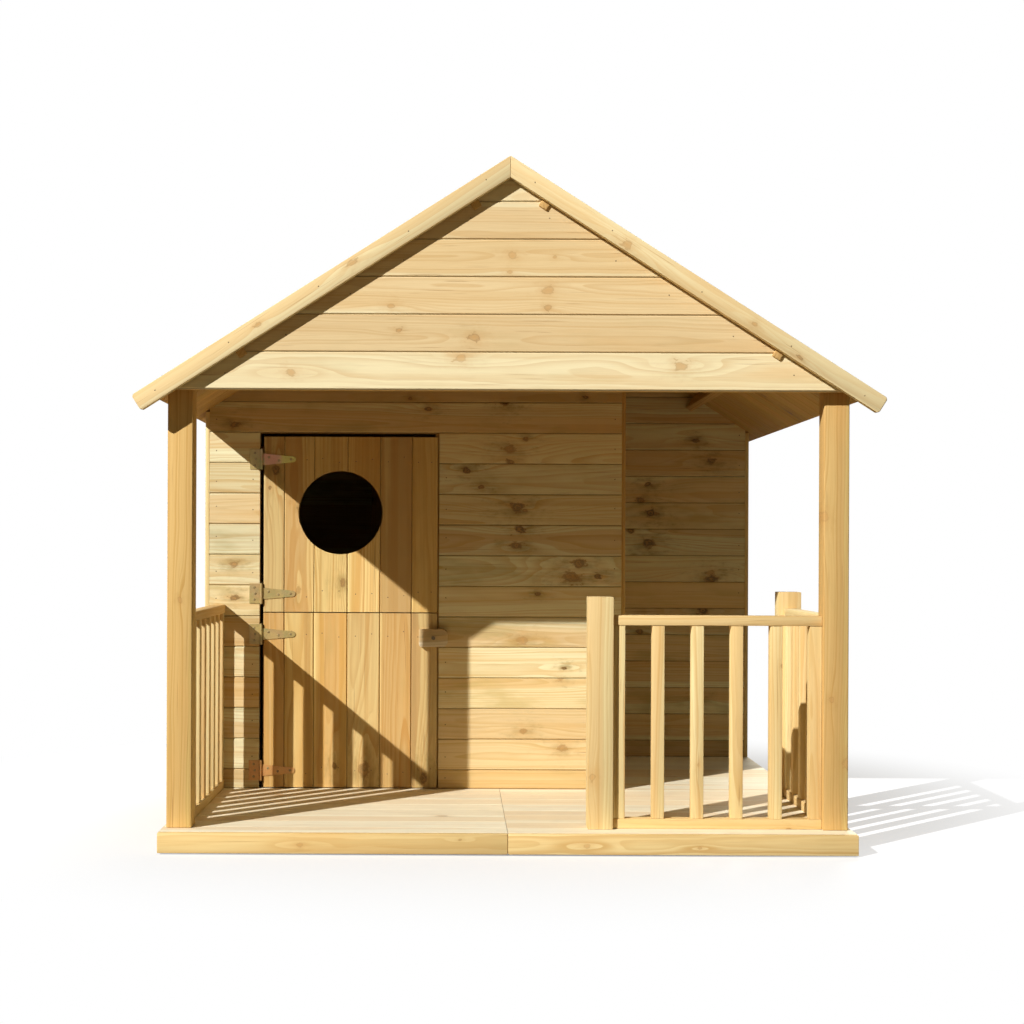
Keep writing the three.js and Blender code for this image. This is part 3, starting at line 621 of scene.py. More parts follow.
def pine(name, early, late, **changes):
    """Planed or sawn softwood. early and late = red, green and blue of the light and the dark part of a ring,
    changes = where it isn't the usual wood."""
    look = SimpleNamespace(**{**USUAL_WOOD, **changes})
    early, late = srgb(*early), srgb(*late)
    material, g = new_material(name)
    wood = Wood(g)
    knots = add_knots(g, wood)
    knots.deep = g.times(knots.deep, min(1.0, 0.3 + look.stain))
    reach = from_pith(g, wood, knots.lift)
    ring = growth_rings(g, reach, look.contrast)
    color = clear_color(g, wood, look, early, late, reach, ring)
    color = knotty_color(g, wood, color, late, ring, knots, look.stain)
    color = dirt_and_groove_shade_color(g, wood, color, look.dirt)
    height = g.plus(g.times(ring, 0.35), g.times(wood.fibre, 0.5 + look.sawn))
    height = g.minus(height, g.times(knots.deep, 0.5))
    height = g.minus(height, g.remap(wood.vein, 0.69, 0.78, 0.0, 0.6))
    relief = g.node("ShaderNodeBump", {"Strength": look.bump, "Distance": 0.0008, "Height": height})
    dull, shiny = look.roughness + 0.08, look.roughness - 0.14
    gloss = g.remap(g.plus(wood.streak, knots.core), 0.3, 1.3, dull, shiny, smooth=False)
    g.surface({"Base Color": color, "Roughness": gloss, "Normal": relief.outputs["Normal"],
               "Specular IOR Level": 0.12})
    return material


wall_wood = pine("wall_boards", (240, 233, 191), (209, 174, 113), contrast=0.75, olive=0.5, stain=0.75,
                 variety=0.27, bands=0.3)
gable_wood = pine("gable_boards", (245, 230, 186), (214, 177, 122), contrast=0.6, olive=0.1, tan=0.22,
                  stain=0.12, bands=0.15, tone_range=0.08)
door_wood = pine("door_boards", (242, 214, 146), (200, 148, 78), contrast=0.9, olive=0.25, tan=0.4, stain=0.6,
                 variety=0.45, bands=0.65, tone_range=0.18, heartwood=srgb(204, 158, 98))
floor_wood = pine("floor_boards", (250, 242, 214), (242, 217, 174), contrast=0.4, olive=0.06, tan=0.08,
                  stain=0.2, variety=0.1, bands=0.08, dirt=0.12, tone_range=0.08)
roof_wood = pine("roof_boards", (214, 177, 106), (174, 126, 62))
planed_wood = pine("planed_timber", (243, 222, 164), (214, 170, 102), contrast=0.65, olive=0.15, stain=0.15,
                   tone_range=0.08)
barge_wood = pine("bargeboard_timber", (244, 230, 184), (225, 187, 130), contrast=0.55, olive=0.1, stain=0.15,
                  tone_range=0.06)
post_wood = pine("post_timber", (222, 193, 124), (192, 146, 76), contrast=0.75, olive=0.2, stain=0.3,
                 bands=0.35, tone_range=0.06)
fascia_wood = pine("fascia_timber", (240, 212, 150), (208, 164, 96), contrast=0.75, olive=0.1, tan=0.4,
                   stain=0.15, tone_range=0.05)
framing_wood = pine("framing_timber", (226, 190, 124), (188, 140, 74), bump=0.6, sawn=0.5, roughness=0.75)
# The turn button's wood: greyed as weathered wood is, and paler still as painted light, for the post's shadow
# that falls on it
weathered_wood = pine("weathered_wood", (236, 220, 186), (190, 168, 130), contrast=0.9, olive=0.2, tan=0.05,
                      dirt=0.5, bump=0.8, roughness=0.8, tone_range=0.1)


# Metal: plated steel, dull, with patches of the plating's other colours. On the hinges a sheen comes in
# between two places along the strap, and between two heights
PINK = srgb(206, 136, 116)
YELLOW_GREEN = srgb(190, 196, 78)
COPPERY = srgb(214, 146, 80)
SPECK = srgb(86, 74, 50)
RUSTY = srgb(92, 72, 50)
STRAP_START, STRAP_END = (corner.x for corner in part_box("hinge_strap_upper_top"))
STRAP_LENGTH = STRAP_END - STRAP_START
PINK_PLACES = (STRAP_START + 0.006, STRAP_START + 0.014)
YELLOW_GREEN_PLACES = (STRAP_START + 0.45 * STRAP_LENGTH, STRAP_START + 0.7 * STRAP_LENGTH)
HIGHEST_HINGE_HEIGHTS = (0.9, 0.94)
LOWEST_HINGE_HEIGHTS = (0.22, 0.18)


def add_passivation(g, place, color):
    """A sheen that changes with height: coppery on the lowest hinge, pink and yellow-green on the highest."""
    across, _, height = g.split(place)
    blotch = g.times(g.minus(g.noise(place, scale=60, detail=2.0), 0.5), 0.03)
    spread = g.plus(across, blotch)
    highest = g.remap(height, *HIGHEST_HINGE_HEIGHTS)
    for places, tint in ((PINK_PLACES, PINK), (YELLOW_GREEN_PLACES, YELLOW_GREEN)):
        here = g.times(g.remap(spread, *places), highest)
        color = g.mix(g.times(here, 0.6), color, tint)
    return g.mix(g.remap(height, *LOWEST_HINGE_HEIGHTS, 0.0, 0.6), color, COPPERY)


def metal(name, color, roughness, tints, metallic=0.3, passivated=False):
    """tints = the other colours and how strong each one's patches are."""
    material, g = new_material(name)
    place = g.node("ShaderNodeTexCoord").outputs["Object"]
    for i, (tint, share) in enumerate(tints):
        moved = g.node("ShaderNodeVectorMath", {0: place, 1: (i * 3.7, 0.0, 0.0)}, operation="ADD").outputs[0]
        patch = g.noise(moved, scale=22, detail=3.0, roughness=0.6)
        color = g.mix(g.remap(patch, 0.45, 0.66, 0.0, share), color, tint)
    if passivated:
        color = add_passivation(g, place, color)
    speck = g.noise(place, scale=420, detail=2.0)
    wear = g.noise(place, scale=60, detail=4.0, roughness=0.65)
    color = g.mix(g.remap(speck, 0.5, 0.8, 0.0, 0.35), color, SPECK)
    dull = g.remap(wear, 0.3, 0.7, roughness - 0.08, roughness + 0.14, smooth=False)
    relief = g.node("ShaderNodeBump", {"Strength": 0.3, "Distance": 0.0003, "Height": speck})
    g.surface({"Base Color": color, "Roughness": dull, "Normal": relief.outputs["Normal"],
               "Metallic": metallic})
    return material


HINGE_TINTS = ((srgb(146, 146, 92), 0.7), (srgb(182, 138, 104), 0.35), (srgb(190, 164, 100), 0.6))
hinge_metal = metal("hinge_metal", srgb(166, 144, 88), 0.52, HINGE_TINTS, metallic=0.45, passivated=True)
screw_metal = metal("screw_metal", srgb(158, 138, 92), 0.55, ((srgb(128, 104, 64), 0.6),))
nail_metal = metal("nail_metal", srgb(128, 104, 72), 0.55, ((RUSTY, 0.6),))
button_screw_metal = metal("button_screw_metal", srgb(112, 94, 64), 0.6, ((RUSTY, 0.6),))


# Walls, gable and roof
HINGE_GAP = 0.011
LATCH_GAP = 0.0035
HEAD_GAP = 0.011
OPENING_X = (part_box("lower_door_boards")[0].x - HINGE_GAP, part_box("lower_door_boards")[1].x + LATCH_GAP)
OPENING_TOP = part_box("upper_door_boards")[1].z + HEAD_GAP


def board_rows(bottom, top, cover, lowest=None):
    """Lower and upper edge of each board. lowest = the bottom board's cover where that is ripped down."""
    edges = [bottom, bottom + (lowest or cover)]
    while edges[-1] < top - JOINT:
        edges.append(edges[-1] + cover)
    return list(zip(edges, edges[1:-1] + [top]))


def around_doorway(x0, x1, z0, z1):
    """Outlines of one wall board where the doorway leaves it whole, notched or in two."""
    left, right = OPENING_X
    if z0 >= OPENING_TOP:
        return [rectangle(x0, x1, z0, z1)]
    if z1 <= OPENING_TOP + JOINT:
        return [rectangle(x0, left, z0, z1), rectangle(right, x1, z0, z1)]
    return [[(x0, z0), (left, z0), (left, OPENING_TOP), (right, OPENING_TOP), (right, z0), (x1, z0), (x1, z1),
             (x0, z1)]]


def facing(low, high, inward):
    """Where a board's visible face and its back are. inward = 1 or -1, from the face to the back."""
    return (low, high) if inward > 0 else (high, low)


def cross_wall(name, node, seed, inward, material=wall_wood, cover=WALL_COVER, lowest=LOWEST_COVER,
               doorway=False):
    """Boards that run across the house. All but the one notched by the doorway are cut to the roof."""
    low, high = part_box(node)
    boards = Timbers(name, seed)
    for z0, z1 in board_rows(low.z, high.z, cover, lowest):
        outlines = around_doorway(low.x, high.x, z0, z1) if doorway else [rectangle(low.x, high.x, z0, z1)]
        for outline in outlines:
            notched = len(outline) > 4
            shaped = outline if notched else under_roof(outline)
            if len(shaped) > 2:
                boards.add("xz", shaped, facing(low.y, high.y, inward), X_AXIS, joint=JOINT)
    boards.finish(material, node)


def long_wall(name, seed, inward):
    """Boards that run along the house."""
    low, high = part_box(f"{name}_cladding")
    boards = Timbers(f"{name}_boards", seed)
    for z0, z1 in board_rows(low.z, high.z, WALL_COVER, LOWEST_COVER):
        boards.add("yz", rectangle(low.y, high.y, z0, z1), facing(low.x, high.x, inward), Y_AXIS, joint=JOINT)
    boards.finish(wall_wood, f"{name}_cladding")


def make_walls():
    cross_wall("front_wall_boards", "front_wall_cladding", seed=11, inward=1, doorway=True)
    cross_wall("recess_wall_boards", "recess_wall_cladding", seed=12, inward=1)
    cross_wall("rear_wall_boards", "rear_wall_cladding", seed=13, inward=-1)
    cross_wall("gable_boards", "front_gable_cladding", seed=14, inward=1, material=gable_wood,
               cover=GABLE_COVER, lowest=None)
    long_wall("left_wall", seed=15, inward=1)
    long_wall("right_wall", seed=16, inward=-1)
    long_wall("inner_wall", seed=17, inward=-1)


def make_roof():
    """Boards from ridge to eave, side by side along the house, cut upright at the ridge."""
    top = Vector((0, 0, roof_top(0, ROOF_DROP)))
    for side, sign in SIDES.items():
        low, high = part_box(f"roof_boards_{side}")
        down, square = down_slope(sign), square_to_slope(sign)
        eave = max(abs(low.x), abs(high.x)) - ROOF_BOARD * math.sin(ROOF_PITCH)
        foot = Vector((sign * eave, 0, roof_top(eave, ROOF_DROP + ROOF_BOARD)))
        level = top.dot(square)
        ridge_cut = (Vector((sign * 2 * GAP, 0, 0)), Vector((-sign, 0, 0)))
        boards = Timbers(f"roof_{side}_boards", 21 + sign)
        for y0, y1 in board_rows(low.y, high.y, ROOF_COVER):
            outline = rectangle(y0, y1, top.dot(down) - ROOF_BOARD, foot.dot(down))
            boards.add((Y_AXIS, down, square), outline, (level - ROOF_BOARD, level), down, joint=JOINT,
                       both=True, cut=ridge_cut)
        boards.finish(roof_wood, f"roof_boards_{side}")


def barge_outline(sign, low, high):
    """Along the slope, mitred at the ridge, with clipped lower corners."""
    corner = BARGE_CORNER
    run = (max(abs(low), abs(high)) - corner * math.sin(ROOF_PITCH)) * SQUARE_TO_SLOPE
    along = Vector((math.cos(ROOF_PITCH), -math.sin(ROOF_PITCH)))
    inward = Vector((-math.sin(ROOF_PITCH), -math.cos(ROOF_PITCH)))

    def at(distance, depth):
        return (along.x * distance + inward.x * depth, RIDGE + along.y * distance + inward.y * depth)

    top = RIDGE - SLOPE * GAP
    outline = [(GAP, top), at(run - corner, 0), at(run, corner), at(run, BARGE_DEPTH - corner),
               at(run - corner, BARGE_DEPTH), (GAP, top - BARGE_DEPTH * SQUARE_TO_SLOPE)]
    return [(sign * x, z) for x, z in outline]


def slope_grain(sign):
    """The grain of a timber that follows the roof, from left to right on both sides."""
    return Vector((math.cos(ROOF_PITCH), 0, -sign * math.sin(ROOF_PITCH)))


def make_bargeboards():
    for end, inward in (("front", 1), ("rear", -1)):
        for side, sign in SIDES.items():
            node = f"{end}_bargeboard_{side}"
            low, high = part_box(node)
            board = Timbers(f"{node}_timber", 30 + sign + 4 * inward)
            depth = facing(low.y, high.y, inward)
            board.add("xz", barge_outline(sign, low.x, high.x), depth, slope_grain(sign))
            board.finish(barge_wood, node)


def make_roof_battens():
    places = [(height, side) for height in ("upper", "lower") for side in SIDES]
    for seed, (height, side) in enumerate(places, 40):
        node = f"roof_batten_{height}_{side}"
        low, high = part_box(node)
        down, square = down_slope(SIDES[side]), square_to_slope(SIDES[side])
        middle = (low + high) / 2
        a, b = middle.dot(down), middle.dot(square)
        half, deep = BATTEN_WIDTH / 2, BATTEN_DEPTH / 2
        outline = rectangle(a - half, a + half, b - deep, b + deep)
        batten = Timbers(f"{node}_timber", seed)
        batten.add((down, square, Y_AXIS), outline, (low.y, high.y), Y_AXIS)
        batten.finish(framing_wood, node)


# Porch: floor, posts and railings
def make_floor():
    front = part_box("front_fascia_left")[0].y
    for seed, side in enumerate(SIDES, 51):
        low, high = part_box(f"floor_boards_{side}")
        boards = Timbers(f"floor_{side}_boards", seed)
        edges = [front + i * FLOOR_COVER for i in range(math.ceil((high.y - front) / FLOOR_COVER) + 1)]
        for y0, y1 in zip(edges, edges[1:]):
            outline = rectangle(low.x, high.x, max(y0, low.y), min(y1, high.y))
            boards.add("xy", outline, (high.z, low.z), X_AXIS, joint=FLOOR_JOINT)
        boards.finish(floor_wood, f"floor_boards_{side}")
        fascia = Timbers(f"fascia_{side}", seed + 2, knot_rate=0.0)
        fascia.box(*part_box(f"front_fascia_{side}"), X_AXIS)
        fascia.finish(fascia_wood, f"front_fascia_{side}")
        floor_frame(side, seed + 4)


def floor_frame(side, seed):
    rim, joist, count = 0.028, 0.044, 5
    low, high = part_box(f"floor_frame_{side}")
    timbers = Timbers(f"floor_{side}_frame", seed)
    for y in (low.y, high.y - rim):
        timbers.box((low.x, y, low.z), (high.x, y + rim, high.z), X_AXIS)
    pitch = (high.x - low.x - joist) / (count - 1)
    for i in range(count):
        x = low.x + i * pitch
        timbers.box((x, low.y + rim, low.z), (x + joist, high.y - rim, high.z), Y_AXIS, face="x")
    timbers.finish(framing_wood, f"floor_frame_{side}")


def single_timber(node, name, seed, grain, material=planed_wood, face="y"):
    timber = Timbers(name, seed)
    timber.box(*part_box(node), grain, face=face)
    timber.finish(material, node)


def make_posts():
    for seed, node in enumerate(("left_post", "right_post"), 61):
        low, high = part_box(node)
        post = Timbers(f"{node}_timber", seed)
        outline = under_roof(rectangle(low.x, high.x, low.z, high.z))
        post.add("xz", outline, (low.y, high.y), Z_AXIS, edge=WELL_EASED, steps=3)
        post.finish(post_wood, node)
    for seed, node in enumerate(("front_newel", "side_newel"), 63):
        single_timber(node, f"{node}_timber", seed, Z_AXIS)
    # The front right trim takes the darker framing wood as painted shade, for the deep shade at the recess's
    # corner
    trims = {"front_left": planed_wood, "front_right": framing_wood, "recess": planed_wood}
    for seed, (place, material) in enumerate(trims.items(), 65):
        node = f"{place}_corner_trim"
        single_timber(node, f"{node}_board", seed, Z_AXIS, material, face="x")


def make_railings():
    """Each railing's handrail, and its bottom rail with the balusters. axis = 0 or 1 for one along x or y."""
    width, rail = 0.0305, 0.025
    for seed, (name, axis, count) in enumerate((("front", 0, 6), ("side", 1, 6), ("left", 1, 8)), 70):
        grain = (X_AXIS, Y_AXIS)[axis]
        face = "yx"[axis]
        single_timber(f"{name}_handrail", f"{name}_handrail_timber", seed, grain, face=face)
        low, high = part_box(f"{name}_balusters")
        timbers = Timbers(f"{name}_baluster_timbers", seed + 10)
        timbers.box(low, (high.x, high.y, low.z + rail), grain, face=face)
        pitch = (high[axis] - low[axis] - width) / (count - 1)
        middle = (low[1 - axis] + high[1 - axis]) / 2
        for i in range(count):
            start, end = low.copy(), high.copy()
            start.z += rail
            start[axis] = low[axis] + i * pitch
            end[axis] = start[axis] + width
            start[1 - axis], end[1 - axis] = middle - width / 2, middle + width / 2
            timbers.box(start, end, Z_AXIS, face=face)
        timbers.finish(planed_wood, f"{name}_balusters")


# Frames behind the boards
def cross_frame(name, node, seed, studs, gap=None, depth=None):
    """Foot plate, plates under the roof and studs, in a wall across the house. gap = the doorway in its foot
    plate, where the studs beside it stand on the floor."""
    low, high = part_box(node)
    depth = depth or (low.y, high.y)
    timbers = Timbers(name, seed)
    spans = [(low.x, gap[0]), (gap[1], high.x)] if gap else [(low.x, high.x)]
    beside_gap = (gap[0] - STUD, gap[1]) if gap else ()
    for x0, x1 in spans:
        timbers.add("xz", rectangle(x0, x1, low.z, low.z + STUD), depth, X_AXIS)
    for sign in SIDES.values():
        x0, x1 = sorted((max(sign * low.x, 0), max(sign * high.x, 0)))
        if x1 - x0 > STUD:
            plate = [(x0, roof_top(x0, SLOPING_PLATE)), (x1, roof_top(x1, SLOPING_PLATE)),
                     (x1, roof_top(x1, UNDER_BOARDS)), (x0, roof_top(x0, UNDER_BOARDS))]
            timbers.add("xz", [(sign * x, z) for x, z in plate], depth, slope_grain(sign))
    for x in studs:
        foot = low.z if x in beside_gap else low.z + STUD
        timbers.add("xz", under_roof(rectangle(x, x + STUD, foot, RIDGE), SLOPING_PLATE), depth, Z_AXIS)
    return timbers


def long_frame(timbers, low, high, studs):
    for z in (low.z, high.z - STUD):
        timbers.box((low.x, low.y, z), (high.x, high.y, z + STUD), Y_AXIS, face="x")
    for y in studs:
        timbers.box((low.x, y, low.z + STUD), (high.x, y + STUD, high.z - STUD), Z_AXIS, face="x")


def evenly(start, end, bays):
    return [start + i * (end - STUD - start) / bays for i in range(bays + 1)]


def front_frame():
    """The front wall's frame: its latch stud and lintel stop the leaves."""
    stop = 0.008
    low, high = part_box("front_wall_frame")
    hinge_stud = OPENING_X[0] - STUD
    latch_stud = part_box("lower_door_boards")[1].x - stop
    studs = [low.x, hinge_stud, latch_stud, high.x - STUD]
    timbers = cross_frame("front_wall_studs", "front_wall_frame", 90, studs, gap=(OPENING_X[0], latch_stud))
    lintel = rectangle(hinge_stud, latch_stud + STUD, OPENING_TOP, OPENING_TOP + STUD)
    timbers.add("xz", lintel, (low.y, high.y), X_AXIS)
    timbers.finish(framing_wood, "front_wall_frame")


def recess_frame():
    """The recess wall's frame and the right wall's, which are one node."""
    depth = 0.028
    low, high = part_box("recess_frame")
    studs = [low.x, high.x - STUD]
    timbers = cross_frame("recess_studs", "recess_frame", 94, studs, depth=(low.y, low.y + depth))
    side_low = Vector((high.x - depth, low.y + depth, low.z))
    side_high = Vector((high.x, high.y, roof_top(high.x, ROOF_DROP + ROOF_BOARD) - GAP))
    long_frame(timbers, side_low, side_high, [high.y - STUD])
    timbers.finish(framing_wood, "recess_frame")


def gable_frame():
    """A foot plate, plates under the roof and a king stud in the middle."""
    batten = 0.045
    low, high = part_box("front_gable_frame")
    depth = (low.y, high.y)
    shelf = low.z + batten
    timbers = Timbers("gable_frame_timbers", 95)
    timbers.add("xz", under_roof(rectangle(low.x, high.x, low.z, shelf)), depth, X_AXIS)
    inner, outer = roof_top(0, SLOPING_PLATE), roof_top(0, UNDER_BOARDS)
    plate = [((inner - shelf) / SLOPE, shelf), ((outer - shelf) / SLOPE, shelf), (0, outer), (0, inner)]
    for sign in SIDES.values():
        timbers.add("xz", [(sign * x, z) for x, z in plate], depth, slope_grain(sign))
    king = under_roof(rectangle(-batten / 2, batten / 2, shelf, RIDGE), SLOPING_PLATE)
    timbers.add("xz", king, depth, Z_AXIS)
    timbers.finish(framing_wood, "front_gable_frame")


def make_frames():
    front_frame()
    low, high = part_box("rear_wall_frame")
    rear = cross_frame("rear_wall_studs", "rear_wall_frame", 91, evenly(low.x, high.x, 4))
    rear.finish(framing_wood, "rear_wall_frame")
    for seed, wall, bays in ((92, "left_wall", 3), (93, "inner_wall", 2)):
        low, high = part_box(f"{wall}_frame")
        timbers = Timbers(f"{wall}_studs", seed)
        long_frame(timbers, low, high, evenly(low.y, high.y, bays))
        timbers.finish(framing_wood, f"{wall}_frame")
    recess_frame()
    gable_frame()


# Stable door
BOARD_EDGE_SHARES = (0, 0.121, 0.29, 0.482, 0.669, 0.85, 1)
WINDOW_RADIUS_SHARE = 0.2385
WINDOW_SHARES = (0.441, 0.568)
ARC_STEPS = 28


def window_arc(middle, radius, x0, x1, sign):
    """Points along the window's upper or lower half between two x."""
    a0 = math.acos(max(-1, min(1, (x0 - middle[0]) / radius)))
    a1 = math.acos(max(-1, min(1, (x1 - middle[0]) / radius)))
    steps = max(2, round(ARC_STEPS * abs(a1 - a0) / math.pi))
    angles = [a0 + (a1 - a0) * i / steps for i in range(steps + 1)]
    return [(middle[0] + radius * math.cos(a), middle[1] + sign * radius * math.sin(a)) for a in angles]


def board_round_window(x0, x1, z0, z1, middle, radius):
    """Outlines of one upright board of the upper leaf, with the window taken out."""
    left, right = middle[0] - radius, middle[0] + radius
    if x1 <= left or x0 >= right:
        return [rectangle(x0, x1, z0, z1)]
    lower, upper = (window_arc(middle, radius, max(x0, left), min(x1, right), sign) for sign in (-1, 1))
    if x0 < left:
        return [[(x0, z0), (x1, z0)] + lower[::-1] + upper[1:] + [(x1, z1), (x0, z1)]]
    if x1 > right:
        return [[(x0, z0), (x1, z0), (x1, z1), (x0, z1)] + upper + lower[::-1][1:]]
    return [[(x0, z0), (x1, z0)] + lower[::-1], upper + [(x1, z1), (x0, z1)]]


def make_leaf(leaf, seed):
    low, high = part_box(f"{leaf}_door_boards")
    width, height = high.x - low.x, high.z - low.z
    middle = (low.x + WINDOW_SHARES[0] * width, low.z + WINDOW_SHARES[1] * height)
    radius = WINDOW_RADIUS_SHARE * height
    edges = [low.x + share * width for share in BOARD_EDGE_SHARES]
    boards = Timbers(f"{leaf}_leaf_boards", seed)
    for x0, x1 in zip(edges, edges[1:]):
        outlines = [rectangle(x0, x1, low.z, high.z)]
        if leaf == "upper":
            outlines = board_round_window(x0, x1, low.z, high.z, middle, radius)
        for outline in outlines:
            boards.add("xz", outline, (low.y, high.y), Z_AXIS, joint=JOINT)
    boards.finish(door_wood, f"{leaf}_door_boards")
    make_leaf_battens(leaf, seed + 10)


def make_leaf_battens(leaf, seed):
    low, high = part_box(f"{leaf}_door_battens")
    battens = Timbers(f"{leaf}_leaf_battens", seed)
    for z in (low.z, high.z - LEAF_BATTEN):
        battens.box((low.x, low.y, z), (high.x, high.y, z + LEAF_BATTEN), X_AXIS)
    for x in (low.x, high.x - LEAF_BATTEN):
        battens.box((x, low.y, low.z + LEAF_BATTEN), (x + LEAF_BATTEN, high.y, high.z - LEAF_BATTEN), Z_AXIS)
    if leaf == "lower":
        diagonal_brace(battens, low, high)
    battens.finish(framing_wood, f"{leaf}_door_battens")


def diagonal_brace(battens, low, high):
    half = LEAF_BATTEN / 2
    start = Vector((low.x + half, low.z + half))
    end = Vector((high.x - half, high.z - half))
    rise = half / math.cos(math.atan2(end.y - start.y, end.x - start.x))
    outline = [(start.x, start.y - rise), (end.x, end.y - rise), (end.x, end.y + rise),
               (start.x, start.y + rise)]
    for px, pq, nx, nq in ((low.x + LEAF_BATTEN, 0, -1, 0), (high.x - LEAF_BATTEN, 0, 1, 0),
                           (0, low.z + LEAF_BATTEN, 0, -1), (0, high.z - LEAF_BATTEN, 0, 1)):
        outline = clip(outline, px, pq, nx, nq)
    grain = Vector((end.x - start.x, 0, end.y - start.y)).normalized()
    battens.add("xz", outline, (low.y, high.y), grain)


def arc(x, q, radius, first, last, steps=6):
    """Points on an arc about (x, q), from one angle in degrees to another."""
    angles = (math.radians(first + (last - first) * i / steps) for i in range(steps + 1))
    return [(x + radius * math.cos(a), q + radius * math.sin(a)) for a in angles]


def make_button():
    """Round at the end that laps over the wall, nearly square at the other."""
    low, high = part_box("turn_button")
    corner, nose = 0.008, 0.017
    outline = arc(high.x - nose, low.z + nose, nose, -90, 0) + arc(high.x - nose, high.z - nose, nose, 0, 90)
    outline += [(low.x, high.z)] + arc(low.x + corner, low.z + corner, corner, 180, 270)
    button = Timbers("turn_button_wood", 120)
    button.add("xz", outline, (low.y, high.y), X_AXIS, edge=WELL_EASED, steps=3)
    button.finish(weathered_wood, "turn_button")


# Fasteners: radius and height of each head, where a strap's screws are along it and how many steps off its
# middle, how far nails are from a board's end and how far they stray
SCREW = (0.0038, 0.0011)
STRAP_SCREW_SHARES = ((0.24, 2), (0.52, -1), (0.86, 0))
NAIL = (0.0017, 0.0005)
LEAF_NAIL = (0.0016, 0.0004)
NAIL_INSET = 0.02
NAIL_STRAY = 0.01
HEAD_SHARP_ANGLE = math.radians(50)


class Heads:
    """Small heads on the front, gathered in one mesh: domed nails, or screws with a cross recess."""

    CORNERS = 12
    FIRST_ANGLE = math.radians(-15)
    RINGS = ((1.0, 0.0), (0.94, 0.45), (0.76, 0.9), (0.62, 1.0))
    RECESS_LEVELS = (1.0, 0.15)

    def __init__(self, name):
        self.name = name
        self.points = []
        self.faces = []

    def add(self, place, size, cross=False):
        radius, rise = size
        across = FRONT.orthogonal().normalized()
        other = FRONT.cross(across)
        place = Vector(place)
        first = len(self.points)
        turns = [self.FIRST_ANGLE + 2 * math.pi * i / self.CORNERS for i in range(self.CORNERS)]
        rings = [[(share * math.cos(a), share * math.sin(a), up) for a in turns] for share, up in self.RINGS]
        if cross:
            rings += [[(x, y, up) for x, y in self.cross_outline()] for up in self.RECESS_LEVELS]
        for x, y, up in (point for ring in rings for point in ring):
            self.points.append(place + (across * x + other * y) * radius + FRONT * rise * up)
        for ring in range(len(rings) - 1):
            for i in range(self.CORNERS):
                j = (i + 1) % self.CORNERS
                a, b = first + ring * self.CORNERS, first + (ring + 1) * self.CORNERS
                self.faces.append((a + i, a + j, b + j, b + i))
        top = first + (len(rings) - 1) * self.CORNERS
        self.faces.append(tuple(range(top, top + self.CORNERS)))
        self.faces.append(tuple(range(first + self.CORNERS - 1, first - 1, -1)))

    @staticmethod
    def cross_outline(arm=0.5, half=0.13):
        """A cross with as many points as a ring has: each arm's two corners, then the notch after it."""
        corners = ((arm, -half), (arm, half), (half, half))
        quarters = ((1, 0), (0, 1), (-1, 0), (0, -1))
        return [(x * c - y * s, x * s + y * c) for c, s in quarters for x, y in corners]

    def finish(self, material, body):
        piece = add_object(self.name, smooth_mesh(self, material, HEAD_SHARP_ANGLE))
        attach(piece, body)


def make_hinge_screws():
    """Three screws in each hinge's crossplate, on the house, and three in its strap, on the leaf."""
    plate_inset, end_inset, stagger, thickness = 0.014, 0.011, 0.003, 0.002
    for hinge in ("upper_top", "upper_bottom", "lower_top", "lower_bottom"):
        low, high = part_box(f"hinge_crossplate_{hinge}")
        x, middle = low.x + plate_inset, (low.z + high.z) / 2
        plate = ((x, low.z + end_inset), (x, high.z - end_inset), (x + stagger, middle))
        low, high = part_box(f"hinge_strap_{hinge}")
        length, middle = high.x - low.x, (low.z + high.z) / 2
        strap = [(low.x + share * length, middle + lift * stagger) for share, lift in STRAP_SCREW_SHARES]
        leaf = nodes[f"hinge_strap_{hinge}"]["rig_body"]
        for part, spots, body in (("plate", plate, "house"), ("strap", strap, leaf)):
            heads = Heads(f"{part}_screws_{hinge}")
            for x, z in spots:
                heads.add((x, high.y - thickness, z), SCREW, cross=True)
            heads.finish(screw_metal, body)


def nail_gable(heads, rng):
    """A nail near each end of the gable's boards, under the bargeboards' lower edges."""
    below, stray, shortest = 0.062, 0.008, 0.1
    low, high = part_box("front_gable_cladding")
    for z0, z1 in board_rows(low.z, high.z, GABLE_COVER):
        z = (z0 + z1) / 2 + rng.uniform(-stray, stray)
        reach = (roof_top(0, below) - z) / SLOPE
        for x in (-reach + NAIL_INSET, reach - NAIL_INSET):
            if abs(x) < high.x and reach > shortest:
                heads.add((x, low.y, z), NAIL)


def nail_bargeboards(heads, rng):
    below, stray = 0.024, 0.006
    places = (0.06, 0.25, 0.47, 0.69, 0.87)
    for side, sign in SIDES.items():
        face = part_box(f"front_bargeboard_{side}")[0].y
        for x in places:
            heads.add((sign * x, face, roof_top(x, below + rng.uniform(-stray, stray))), NAIL)


def nail_wall(heads, rng, node, beside_doorway=()):
    """A nail near each end of a wall's boards, where the roof leaves room for it."""
    below = 0.04
    low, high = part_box(node)
    for z0, z1 in board_rows(low.z, high.z, WALL_COVER, LOWEST_COVER):
        z = (z0 + z1) / 2
        doorway_spots = beside_doorway if z1 <= OPENING_TOP else ()
        for x in (low.x + NAIL_INSET, high.x - NAIL_INSET, *doorway_spots):
            if z < roof_top(x, below):
                heads.add((x, low.y, z + rng.uniform(-NAIL_STRAY, NAIL_STRAY)), NAIL)


def make_nails():
    front = Heads("front_nails")
    rng = random.Random(200)
    nail_gable(front, rng)
    nail_bargeboards(front, rng)
    nail_wall(front, rng, "front_wall_cladding", (OPENING_X[0] - NAIL_INSET, OPENING_X[1] + NAIL_INSET))
    nail_wall(front, rng, "recess_wall_cladding")
    front.finish(nail_metal, "house")


